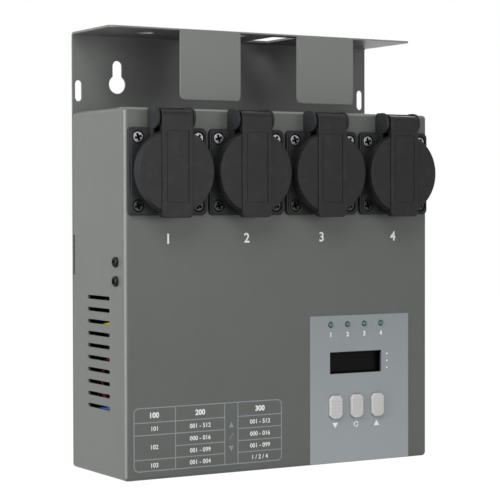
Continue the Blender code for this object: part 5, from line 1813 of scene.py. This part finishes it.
@dataclass
class PrintedTable(Print):
    """The ruled table at the lower left, with plain figures in its cells."""

    left: float = -98.6 * MM
    right: float = -1.1 * MM
    low: float = 4.9 * MM
    high: float = 41.1 * MM
    corner: float = 3.2 * MM
    cell_corner: float = 0.3 * MM
    line: float = 0.55 * MM
    arrow: Point = (3.3 * MM, 3.2 * MM)
    stroke: tuple[Point, ...] = ((-1.65, -1.8), (-1.2, -1.8), (1.65, 1.8), (1.2, 1.8))
    marks_up: tuple[float, ...] = (28.1 * MM, 21.3 * MM, 14.25 * MM)
    columns: tuple[float, ...] = (-72.0 * MM, -39.8 * MM, -31.0 * MM)
    rows: tuple[float, ...] = (32.55 * MM, 25.5 * MM, 18.4 * MM, 11.65 * MM)
    heading: Point = (3.3 * MM, 0.035)
    heading_drop: float = 0.2 * MM
    number: Point = (2.6 * MM, 0.015)

    def build(self) -> None:
        """The ruling, the figures and the marks of the narrow column."""
        self.place("table_ruling", self.ruling(), self.finishes.line_ink)
        self.place("table_figures", self.entries(), self.finishes.mark_ink)
        self.place("table_marks", self.marks(), self.finishes.line_ink)

    def cell(self, across: Point, up: Point) -> Outline:
        """One cell's opening, rounder at the frame's own corners.

        Args:
            across: The middles of the lines at its left and right.
            up: The middles of the lines below and above it.

        Returns:
            The opening.
        """
        half, reach = self.line / 2, 1.5 * self.line
        sides = {-1: across[0] + half, 1: across[1] - half}
        ends = {-1: up[0] + half, 1: up[1] - half}
        points: list[Point] = []
        for right, above, start in CORNERS:
            x, z = sides[right], ends[above]
            at_side = min(abs(x - self.left), abs(x - self.right)) < reach
            at_end = min(abs(z - self.low), abs(z - self.high)) < reach
            radius = self.corner - self.line if at_side and at_end else self.cell_corner
            points += arc((x - right * radius, z - above * radius), radius, start, start + 90, 5)
        return Outline.of(points)

    def ruling(self) -> Solid:
        """The frame and its lines as one thin plate with an opening for each cell.

        Returns:
            The plate.
        """
        half = self.line / 2
        left, right, low, high = self.left + half, self.right - half, self.low + half, self.high - half
        border = Outline.rounded(self.right - self.left, self.high - self.low, self.corner)
        plate = self.patch(border.at((self.left + self.right) / 2, (self.low + self.high) / 2), ON_PAINT)
        first, second, third = self.columns
        rows = (high, *self.rows, low)
        first_rows = [row for row in rows if row != self.rows[2]]
        cells: list[Outline] = []
        for across, lines in (((left, first), first_rows), ((first, second), rows), ((third, right), rows)):
            cells += [self.cell(across, (lower, upper)) for upper, lower in zip(lines, lines[1:])]
        cells.append(self.cell((second, third), (low, high)))
        return plate.cut(Solid.through(cells, 0.0).moved(y=PLAN.front))

    def entries(self) -> Solid:
        """Plain numbers, larger and bolder in the heading than in the rows.

        Returns:
            The figures.
        """
        first, second, third = self.columns
        middles = ((self.left + first) / 2, (first + second) / 2, (third + self.right) / 2)
        rows = (self.high, *self.rows, self.low)
        top, *heights = [(upper + lower) / 2 for upper, lower in zip(rows, rows[1:])]
        tall = (self.rows[1] + self.rows[3]) / 2
        columns = (
            ("100", ("101", "102", "103"), (heights[0], tall, heights[3])),
            ("200", ("001 - 512", "000 - 016", "001 - 099", "001 - 004"), heights),
            ("300", ("001 - 512", "000 - 016", "001 - 099", "1 / 2 / 4"), heights),
        )
        made: list[Solid] = []
        for x, (heading, numbers, places) in zip(middles, columns):
            entries = [(heading, top - self.heading_drop, self.heading)]
            entries += [(number, z, self.number) for number, z in zip(numbers, places)]
            made += [self.figure(text, (x, z), tall, ON_PAINT, weight) for text, z, (tall, weight) in entries]
        return Solid.group(made)

    def marks(self) -> Solid:
        """An upward triangle, a stroke and a downward triangle.

        Returns:
            The three marks.
        """
        x = (self.columns[1] + self.columns[2]) / 2
        upper, middle, lower = ((x, z) for z in self.marks_up)
        above = self.triangle(upper, self.arrow, True, ON_PAINT)
        stroke = self.patch(Outline.of(mm(*self.stroke)).at(*middle), ON_PAINT)
        below = self.triangle(lower, self.arrow, False, ON_PAINT)
        return Solid.group([above, stroke, below])


@dataclass
class ControlPanel(Print):
    """The film with its print, the lamps, the display and the three keys."""

    film: Point = (71.2 * MM, 88.2 * MM)
    film_middle: Point = (54.075 * MM, 44.7 * MM)
    film_face: float = 0.4 * MM
    film_back: float = 0.1 * MM
    film_corner: float = 1.0 * MM
    figure_height: float = 2.9 * MM
    figure_drop: float = 5.9 * MM
    figure_weight: float = 0.03
    mark_height: float = 23.0 * MM
    arrow: Point = (4.1 * MM, 3.3 * MM)
    ring: Point = (1.7 * MM, 1.05 * MM)
    ring_run: Point = (14.0, 106.0)
    dot: float = 0.55 * MM
    dots: Point = (22.6 * MM, 4.2 * MM)
    lamp_proud: float = 1.3 * MM
    lamp_foot: float = -10.7 * MM
    display_face: float = -3.5 * MM
    display_rim: float = 6.0 * MM
    pane_less: Point = (3.7 * MM, 0.9 * MM)
    pane_shift: Point = (1.0 * MM, 0.5 * MM)
    pane_sunk: float = 0.35 * MM
    digit: Place = (4.4 * MM, 7.6 * MM, 0.8 * MM)
    digit_pitch: float = 9.4 * MM
    key_proud: float = 2.7 * MM
    key_ridges: int = 5
    ridge: tuple[Point, ...] = (
        (-0.34, -0.45), (0.34, -0.45), (0.30, -0.05), (0.16, 0.02), (0.0, 0.04), (-0.16, 0.02),
        (-0.30, -0.05),
    )

    def build(self) -> None:
        """Every piece of the panel."""
        self.build_film()
        self.build_lamps()
        self.build_display()
        self.build_keys()

    def build_film(self) -> None:
        """The film and the figures and marks printed on it."""
        outline = Outline.rounded(*self.film, self.film_corner, 5).at(*self.film_middle)
        film = Solid.block(outline, self.film_back, self.film_face, rim=0.05 * MM, steps=2)
        film = film.cut(Solid.through(PLAN.panel_openings(FIT), 0.0)).moved(y=PLAN.front)
        self.place("printed_film", film, self.finishes.film, ["control_label_film"])
        self.place("panel_print", Solid.group(self.print_shapes()), self.finishes.white_ink)

    def print_shapes(self) -> list[Solid]:
        """Lamp figures, key marks and the dots beside the display.

        Returns:
            The shapes.
        """
        level, marks = self.film_face, self.mark_height
        shapes = [
            self.figure(str(number), (x, z - self.figure_drop), self.figure_height, level, self.figure_weight)
            for number, (x, z) in enumerate(PLAN.lamp_places(), start=1)
        ]
        places = {name: (x, marks) for name, (x, _) in PLAN.key_places().items()}
        shapes += [self.triangle(places[name], self.arrow, name == "up", level) for name in ("down", "up")]
        (outer, inner), (begin, end) = self.ring, self.ring_run
        for start in (0, 120, 240):
            points = arc((0, 0), outer, start + begin, start + end, 8)
            points += arc((0, 0), inner, start + end, start + begin, 8)
            shapes.append(self.patch(Outline.of(points).at(*places["mode"]), level))
        x = PLAN.controls_middle + self.dots[0]
        spots = [(x, PLAN.window_height + row * self.dots[1]) for row in (-1, 0, 1)]
        return shapes + [self.patch(Outline.circle(self.dot, 20).at(*spot), level) for spot in spots]

    def build_lamps(self) -> None:
        """Four domed lamps that stand on the board."""
        radius, top = PLAN.lamp_radius, self.film_face + self.lamp_proud
        foot = offsets((radius, self.lamp_foot), (0.5, 0), (0.5, 1.0), (0, 1.3))
        profile = foot + arc((0, top - radius), radius, 0, 84, 8)
        for number, (x, z) in enumerate(PLAN.lamp_places(), start=1):
            lamp = Solid.turned(profile, sides=32).moved(x, PLAN.front, z)
            self.place(f"lamp_{number}_lens", lamp, self.finishes.lens, [f"channel_{number}_lamp"])

    def build_display(self) -> None:
        """A black housing round a smoked pane, and three unlit figures behind its face."""
        (width, height), face, rim = PLAN.window, self.display_face, self.display_rim
        middle = (PLAN.controls_middle, PLAN.window_height)
        shifted = (middle[0] + self.pane_shift[0], middle[1] + self.pane_shift[1])
        outer = Outline.rounded(width + rim, height + rim, 0.6 * MM, 3).at(*middle)
        across, up = width - self.pane_less[0], height - self.pane_less[1]
        sink = Outline.rounded(across, up, 0.4 * MM, 3).at(*shifted)
        housing = Solid.block(outer, self.lamp_foot, face, rim=0.2 * MM)
        housing = housing.cut(Solid.block(sink, face - 1.2 * MM, face + BEYOND))
        self.place("display_housing", housing.moved(y=PLAN.front), self.finishes.bezel, ["display_module"])
        pane = Solid.block(sink.inset(0.04 * MM), face - 1.18 * MM, face - self.pane_sunk, rim=0.1 * MM)
        self.place("display_pane", pane.moved(y=PLAN.front), self.finishes.pane)
        spots = [(shifted[0] + place * self.digit_pitch, shifted[1]) for place in (-1, 0, 1)]
        digits = [self.seven_segments(spot, face - self.pane_sunk) for spot in spots]
        self.place("display_figures", Solid.group(digits), self.finishes.segment)

    def seven_segments(self, middle: Point, level: float) -> Solid:
        """One unlit seven-segment figure, printed on the pane.

        Args:
            middle: Where its middle lies on the front.
            level: The height of the pane.

        Returns:
            The figure.
        """
        width, height, bar = self.digit
        half, run, tall = bar / 2, width / 2 - bar, (height - bar) / 4
        tip, body = run + half, tall - half
        flat = Outline.of([(-run, -half), (run, -half), (tip, 0.0), (run, half), (-run, half), (-tip, 0.0)])
        right = [(0.0, -tall), (half, -body), (half, body)]
        upright = Outline.of([*right, (0.0, tall), (-half, body), (-half, -body)])
        reach, rise = width / 2 - bar / 4, height / 2 - bar / 4
        spots = [flat.at(0, z) for z in (-rise, 0.0, rise)]
        spots += [upright.at(x, z) for x in (-reach, reach) for z in (-height / 4, height / 4)]
        return Solid.group(self.patch(shape.at(*middle), level) for shape in spots)

    def build_keys(self) -> None:
        """Three ribbed keys with their rims and stems."""
        for name, (x, z) in PLAN.key_places().items():
            key = self.key().moved(x, PLAN.front, z)
            self.place(f"{name}_key_cap", key, self.finishes.key, [f"key_{name}"], f"{name}_key")

    def key(self) -> Solid:
        """One key about the panel's face. Its ridges are drawn as seen from the right side.

        Returns:
            The key.
        """
        (width, height), chamfer = PLAN.key, PLAN.key_chamfer
        rim_face = -PLAN.sheet - FIT
        foot, more = rim_face - 0.6 * MM, 1.6 * MM
        outline = Outline.chamfered(width, height, chamfer)
        cap = Solid.block(outline, foot, self.key_proud - 0.25 * MM, rim=0.5 * MM, steps=4)
        skirt = Outline.chamfered(width + more, height + more, chamfer)
        rim = Solid.block(skirt, rim_face - 1.2 * MM, rim_face)
        stem = Solid.turned([(1.6 * MM, -5.9 * MM), (1.6 * MM, foot)], sides=20)
        pitch, half = (height - 2 * chamfer) / self.key_ridges, width / 2 - 0.6 * MM
        section = Outline.of((0.04 * MM - self.key_proud - up, across) for across, up in mm(*self.ridge))
        rows = [pitch * (row - (self.key_ridges - 1) / 2) for row in range(self.key_ridges)]
        return cap.joined(rim, stem, Solid.blocks([section.at(0, z) for z in rows], -half, half, Face.RIGHT))


@dataclass
class SideFittings(SubAssembly):
    """What the right side carries: two signal connectors, the breaker and the cable gland.

    Each is drawn about the case wall's outer face at its own middle.
    """

    connector_flange: Point = (26.0 * MM, 31.0 * MM)
    shell: float = 11.4 * MM
    bore: float = 9.5 * MM
    face: float = 2.3 * MM
    mouth: float = 14.0 * MM
    depth: float = 18.0 * MM
    pin_circle: float = 4.9 * MM
    screw_spot: Point = (9.5 * MM, 12.0 * MM)
    latch_offset: float = 11.9 * MM
    nut_flats: float = 15.0 * MM
    button: float = 3.2 * MM
    gland_flats: float = 22.0 * MM
    gland_bore: float = 5.0 * MM
    cap_radius: float = 10.7 * MM
    cap_mouth: float = 7.0 * MM
    cap_height: float = 14.0 * MM
    cap_shoulder: float = 7.5 * MM
    thread_pitch: float = 1.5 * MM
    thread_depth: float = 0.45 * MM

    def build(self) -> None:
        """Every fitting on the right side."""
        self.build_connectors()
        self.build_breaker()
        self.build_gland()

    def put(
        self, name: str, solid: Solid, height: float, finish: Finish, replaces: Sequence[str] = (),
        body: str = "case",
    ) -> None:
        """Places a piece of the fitting at this height."""
        self.place(name, solid.moved(PLAN.side, PLAN.fittings_back, height), finish, replaces, body)

    def round(
        self, profile: Sequence[Point], sides: int = 40, middle: Point = (0, 0), looped: bool = False,
    ) -> Solid:
        """A round form that stands on the right side, with radii and heights in metres."""
        return Solid.turned(profile, Face.RIGHT, sides, middle, looped)

    @property
    def floor(self) -> float:
        """The height of the connectors' floor."""
        return self.face - self.mouth

    def pin_spots(self) -> list[Point]:
        """The three contacts, seen from the right side."""
        return [(-across, along) for along, across in arc((0, 0), self.pin_circle, 0, 360, 3)[:-1]]

    def screw_spots(self) -> list[Point]:
        """The two screws of a connector's flange, seen from the right side."""
        return [(side * self.screw_spot[0], side * self.screw_spot[1]) for side in SIDES]

    def socket_shell(self) -> Solid:
        """A connector's flange and open shell.

        Returns:
            The shell with its mouth and its screw holes.
        """
        outline, edge = Outline.rounded(*self.connector_flange, 3.0 * MM), (self.bore, self.face)
        flange = Solid.block(outline, FIT, self.face, Face.RIGHT, rim=0.4 * MM)
        shell = self.round([(self.shell, -self.depth), (self.shell, 0.9 * MM)], 48)
        lip = [(self.bore, self.floor), *offsets(edge, (0, -0.5), (0.5, 0), (0.5, 5.0))]
        sink = [(1.6 * MM, -BEYOND), (1.6 * MM, 0.6 * MM), (2.9 * MM, self.face), (2.9 * MM, BEYOND)]
        sinks = Solid.group(self.round(sink, 24, spot) for spot in self.screw_spots())
        return flange.joined(shell).cut(self.round(lip, 48)).cut(sinks)

    def flange_screws(self) -> Solid:
        """The two countersunk screws of a connector's flange.

        Returns:
            Both screws.
        """
        profile = mm((1.3, -2.5), (1.3, 0.75), (2.6, 2.05), (2.45, 2.2))
        cross = Outline.cross(3.0 * MM, 0.7 * MM)
        return Solid.group(
            self.round(profile, 24, spot).cut(Solid.block(cross.at(*spot), 1.3 * MM, BEYOND, Face.RIGHT))
            for spot in self.screw_spots()
        )

    def build_connectors(self) -> None:
        """The male inlet, the female outlet and the outlet's latch."""
        made, floor, face = self.finishes, self.floor, self.face
        key_way = Outline.rounded(2.0 * MM, 1.8 * MM, 0.3 * MM, 3).at(0, 0.2 * MM - self.bore)
        key = Solid.block(key_way, floor - 0.5 * MM, face - 2.0 * MM, Face.RIGHT)
        inlet = self.socket_shell().joined(key)
        self.put("signal_inlet_shell", inlet, PLAN.inlet_height, made.fitting, ["signal_inlet"])
        pin = offsets((0, floor), (1.2, -0.5), (1.2, 10.5), (0.9, 11.2), (0.4, 11.5))
        pins = Solid.group(self.round(pin, 20, spot) for spot in self.pin_spots())
        self.put("signal_inlet_pins", pins, PLAN.inlet_height, made.bright)
        disc = Outline.circle(7.6 * MM)
        insert = Solid.block(disc, floor - 0.6 * MM, face - 0.6 * MM, Face.RIGHT, rim=0.3 * MM)
        slot = Outline.rounded(8.6 * MM, 4.2 * MM, 0.4 * MM, 3).at(0, self.latch_offset)
        cuts = [Solid.block(slot, floor, face + BEYOND, Face.RIGHT)]
        hole = [(1.5 * MM, floor + 0.6 * MM), *offsets((0, face), (1.5, -1.1), (2.0, -0.6), (2.0, 5.0))]
        cuts += [self.round(hole, 20, spot) for spot in self.pin_spots()]
        outlet = self.socket_shell().joined(insert).cut(Solid.group(cuts))
        self.put("signal_outlet_shell", outlet, PLAN.outlet_height, made.fitting, ["signal_outlet"])
        for name, height in (("inlet", PLAN.inlet_height), ("outlet", PLAN.outlet_height)):
            self.put(f"signal_{name}_screws", self.flange_screws(), height, made.bright)
        tongue = Outline.rounded(8.0 * MM, 3.6 * MM, 0.5 * MM, 3)
        latch = Solid.block(tongue, floor + 1.5 * MM, face + 1.7 * MM, Face.RIGHT, rim=0.5 * MM)
        height = PLAN.outlet_height + self.latch_offset
        self.put("outlet_latch_tongue", latch, height, made.bright, ["outlet_latch"], "latch")

    def build_breaker(self) -> None:
        """The circuit breaker with its ring nut and its reset button."""
        made, rear, height = self.finishes, -PLAN.sheet - FIT, PLAN.breaker_height
        box = Outline.rounded(28.0 * MM, 14.0 * MM, 0.8 * MM, 3)
        body = Solid.block(box, rear - 26.0 * MM, rear, Face.RIGHT, rim=0.3 * MM, foot=0.3 * MM)
        neck = self.round([(5.5 * MM, rear - 0.6 * MM), *mm((5.5, 6.0), (5.1, 6.5))])
        breaker = body.joined(neck).cut(self.round(mm((3.5, -1.3), (3.5, 11.5))))
        self.put("breaker_case", breaker, height, made.fitting, ["breaker_body"])
        nut = Solid.block(Outline.hexagon(self.nut_flats, 0.35 * MM), FIT, 2.8 * MM, Face.RIGHT, rim=0.3 * MM)
        self.put("breaker_nut", nut.cut(self.round(mm((5.55, -5.0), (5.55, 5.0)))), height, made.bright)
        button = Solid.block(Outline.circle(self.button, 40), 1.5 * MM, 10.5 * MM, Face.RIGHT, rim=0.5 * MM)
        self.put("breaker_reset", button, height, made.button, ["breaker_button"], "reset_button")

    def build_gland(self) -> None:
        """The gland's body with its locknut, and its fluted cap. No cable is in it."""
        made, rear, height = self.finishes, -PLAN.sheet - FIT, PLAN.gland_height
        grips, top = Outline.hexagon(self.gland_flats, 0.5 * MM), FIT + 5.0 * MM
        body = Solid.block(grips, FIT, top, Face.RIGHT, rim=0.4 * MM)
        thread = self.round(self.thread_profile(7.8 * MM, -9.0 * MM, 0.9 * MM))
        locknut = Solid.block(grips, rear - 4.0 * MM, rear, Face.RIGHT, foot=0.4 * MM)
        collet = self.round(offsets((0, top), (7.5, -0.6), (7.5, 6.0), (6.9, 7.0)))
        bore = self.round([(self.gland_bore, -20.0 * MM), (self.gland_bore, 30.0 * MM)])
        gland = body.joined(thread, locknut, collet).cut(bore)
        self.put("gland_housing", gland, height, made.fitting, ["gland_body"])
        foot = top + FIT
        tip, shoulder = foot + self.cap_height, foot + self.cap_shoulder
        wall = [(self.cap_radius, foot), (self.cap_radius, shoulder), *self.dome_profile(shoulder, tip)]
        grip = Solid.block(grips, foot, shoulder - FIT, Face.RIGHT, rim=0.4 * MM, foot=0.3 * MM)
        hollow = [(7.8 * MM, foot - BEYOND), (7.8 * MM, top + 7.0 * MM + FIT)]
        hollow += offsets((0, tip), (5.0, -0.6), (5.3, 5.0))
        cap = self.round(wall, 48).joined(grip).cut(self.round(hollow, 48))
        self.put("gland_clamp_cap", cap, height, made.fitting, ["gland_cap"])
        section = offsets((0, tip), (4.9, -4.0), (4.9, -2.0), (4.2, -2.4), (4.2, -3.6))
        self.put("gland_seal", self.round(section, looped=True), height, made.gasket)

    def thread_profile(self, radius: float, low: float, high: float) -> list[Point]:
        """A round rod with thread-like ridges.

        Args:
            radius: The radius of the ridges.
            low: Where the rod starts.
            high: Where it ends.

        Returns:
            Its profile.
        """
        points: list[Point] = []
        pitch, core, place = self.thread_pitch, radius - self.thread_depth, low
        while place + pitch < high:
            points += [(core, place), (radius, place + pitch / 2)]
            place += pitch
        return [*points, (core, place), (core, high)]

    def dome_profile(self, shoulder: float, tip: float) -> list[Point]:
        """The cap's round end.

        Args:
            shoulder: The height where it starts.
            tip: The height where it ends.

        Returns:
            Its profile above the shoulder.
        """
        run, rise = self.cap_radius - self.cap_mouth, tip - shoulder
        return [(self.cap_mouth + run * x, shoulder + rise * y) for x, y in arc((0, 0), 1.0, 0, 90, 8)[1:]]


@dataclass
class Interior(SubAssembly):
    """What shows through the vents: the boards keep their CAD shapes, and wires run beside them."""

    wire_radius: float = 1.2 * MM
    wire_steps: int = 10
    runs: dict[str, tuple[Place, ...]] = field(
        default_factory=lambda: {
            "yellow": (
                (-91, -28, 96), (-98, -16, 89.5), (-99, -6.6, 87), (-98.5, 5, 85.2), (-95, 14, 83.5),
                (-84, 18, 84),
            ),
            "red": (
                (-86, -8, 80), (-91, 0, 72), (-93.8, 6.7, 65.5), (-93.8, 13.4, 58.3), (-93.8, 14.5, 51.2),
                (-93.8, 12.3, 44.2), (-86, 4, 34),
            ),
            "brown": ((-84, 0, 28), (-88, 6, 46), (-89, 8, 70), (-86, 4, 92), (-78, 0, 108)),
            "blue": (
                (-88, -27, 46), (-97, -18, 41), (-99, -6.6, 38.4), (-98.5, 6, 36.8), (-95, 16, 35),
                (-84, 20, 33),
            ),
        }
    )

    def build(self) -> None:
        """Finishes for the CAD nodes that stay, and the wires."""
        made = self.finishes
        kept = {"control_board": made.board, "relay_board": made.board, "supply_transformer": made.coil}
        kept |= {f"relay_{number}": made.relay for number in range(1, PLAN.sockets + 1)}
        for node, finish in kept.items():
            for slot in frame["nodes"][node].material_slots:
                slot.material = finish.material()
            LOG.info("finished %s as %s", node, finish.name)
        for name, points in self.runs.items():
            path = smooth_path([Vector(point) * MM for point in points], self.wire_steps)
            self.place(f"wire_{name}", Solid.tube(path, self.wire_radius, 12), getattr(made, name))


def smooth_path(points: Sequence[Vector], steps: int) -> list[Vector]:
    """A smooth curve through points.

    Args:
        points: The points that it passes through.
        steps: How many chords lie between two of them.

    Returns:
        The points of the curve.
    """
    ends = [points[0] * 2 - points[1], *points, points[-1] * 2 - points[-2]]
    path: list[Vector] = []
    for before, first, second, after in zip(ends, ends[1:], ends[2:], ends[3:]):
        for step in range(steps):
            t = step / steps
            bend = (2 * before - 5 * first + 4 * second - after) * t * t
            turn = (3 * first - before - 3 * second + after) * t * t * t
            path.append((2 * first + (second - before) * t + bend + turn) / 2)
    return [*path, points[-1]]


@dataclass
class Studio:
    """The camera, the lamps, the pale floor and the white surroundings."""

    focal_length: float = 128.0
    sensor: float = 36.0
    camera_place: Place = (-0.5468, -0.9233, 0.1545)
    camera_turn: Place = (30.53, -1.42, -0.11)
    aim: Place = (0.0, 0.0, 0.12)
    world_level: float = 0.15
    white: Colour = (1.0, 1.0, 1.0)
    floor_colour: Colour = (0.86, 0.86, 0.86)
    floor_size: float = 6.0
    floor_glow: float = 1.08
    floor_share: float = 0.93
    lamps: tuple[tuple[str, Place, float, float], ...] = (
        ("key_light", (-0.75, -1.1, 1.35), 0.9, 12.5),
        ("left_light", (-1.5, -0.15, 0.55), 1.0, 21.0),
        ("rear_fill", (1.0, 1.5, 0.8), 1.0, 9.0),
        ("front_fill", (0.30, -1.75, 0.22), 1.0, 8.5),
    )

    def build(self) -> None:
        """Sets up everything round the model."""
        bpy.context.scene.view_settings.view_transform = "Standard"
        self.build_camera()
        self.build_floor()
        self.build_world()
        for lamp in self.lamps:
            self.add_lamp(*lamp)

    def build_camera(self) -> None:
        """The camera at the photograph's place, with its turn worked out from yaw, pitch and roll."""
        yaw, pitch, roll = (math.radians(angle) for angle in self.camera_turn)
        level = Vector((math.sin(yaw), math.cos(yaw), 0))
        right, up = Vector((math.cos(yaw), -math.sin(yaw), 0)), Vector((0, 0, 1))
        ahead = level * math.cos(pitch) + up * math.sin(pitch)
        raised = up * math.cos(pitch) - level * math.sin(pitch)
        across = right * math.cos(roll) + raised * math.sin(roll)
        upward = raised * math.cos(roll) - right * math.sin(roll)
        camera = bpy.data.cameras.new("photo_camera")
        camera.lens = self.focal_length
        camera.sensor_width = self.sensor
        camera.clip_start = 0.01
        camera.clip_end = 50
        holder = bpy.data.objects.new("photo_camera", camera)
        turn = Matrix((across, upward, -ahead)).transposed().to_4x4()
        holder.matrix_world = Matrix.Translation(self.camera_place) @ turn
        bpy.context.scene.collection.objects.link(holder)
        bpy.context.scene.camera = holder
        LOG.info("camera placed")

    def seen_directly(self, graph: Graph) -> Wire:
        """1 for what the camera, a mirror or a pane sees, 0 for light that falls on the object.

        Args:
            graph: The nodes that use it.

        Returns:
            The factor.
        """
        kinds = ("Is Camera Ray", "Is Glossy Ray", "Is Transmission Ray")
        camera, mirror, pane = (graph.node("ShaderNodeLightPath", output=name) for name in kinds)
        return camera.greater(mirror).greater(pane)

    def build_world(self) -> None:
        """White where it is seen, and a plain level where it lights the object."""
        world = bpy.data.worlds.new("white_surroundings")
        world.use_nodes = True
        world.node_tree.nodes.clear()
        graph = Graph(world)
        seen = self.seen_directly(graph)
        ambient, white = (
            graph.node("ShaderNodeBackground", {}, {"Color": self.white, "Strength": level})
            for level in (self.world_level, 1.0)
        )
        mixed = graph.node("ShaderNodeMixShader", {}, {0: seen, 1: ambient, 2: white})
        graph.node("ShaderNodeOutputWorld", {}, {"Surface": mixed})
        bpy.context.scene.world = world
        LOG.info("surroundings made")

    def build_floor(self) -> None:
        """A pale floor that is white where it is seen and keeps the object's shadow."""
        form = bmesh.new()
        bmesh.ops.create_grid(form, x_segments=1, y_segments=1, size=self.floor_size)
        mesh = Solid.of_form(form).mesh
        floor = bpy.data.objects.new("studio_floor", mesh)
        bpy.context.scene.collection.objects.link(floor)
        graph = Graph.new("pale_floor")
        seen = self.seen_directly(graph)
        matt = graph.node("ShaderNodeBsdfDiffuse", {}, {"Color": self.floor_colour})
        glow = graph.node("ShaderNodeEmission", {}, {"Color": self.white, "Strength": self.floor_glow})
        mixed = graph.node("ShaderNodeMixShader", {}, {0: seen * self.floor_share, 1: matt, 2: glow})
        graph.node("ShaderNodeOutputMaterial", {}, {"Surface": mixed})
        mesh.materials.append(graph.material)
        LOG.info("floor made")

    def add_lamp(self, name: str, place: Place, size: float, power: float) -> None:
        """Adds a square soft lamp that points at the object's middle.

        Args:
            name: The lamp's name.
            place: Where it stands.
            size: The length of its sides.
            power: Its power in watts.
        """
        lamp = bpy.data.lights.new(name, "AREA")
        lamp.size = size
        lamp.energy = power
        holder = bpy.data.objects.new(name, lamp)
        holder.rotation_euler = (Vector(self.aim) - Vector(place)).to_track_quat("-Z", "Y").to_euler()
        holder.location = place
        bpy.context.scene.collection.objects.link(holder)
        LOG.info("lamp %s placed", name)


def build_pack() -> None:
    """Builds every sub-assembly in order."""
    finishes = Finishes()
    SteelCase(finishes).build()
    WallBracket(finishes).build()
    for number, x in enumerate(PLAN.socket_places(), start=1):
        MainsSocket(finishes, number, x).build()
        SprungLid(finishes, number, x).build()
    for kind in (SideScrews, SocketNumerals, PrintedTable, ControlPanel, SideFittings, Interior):
        kind(finishes).build()


def main() -> None:
    """Builds the whole scene."""
    logging.basicConfig(level=logging.INFO, format="%(name)s: %(message)s")
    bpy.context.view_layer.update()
    build_pack()
    Studio().build()


if __name__ == "__main__":
    main()
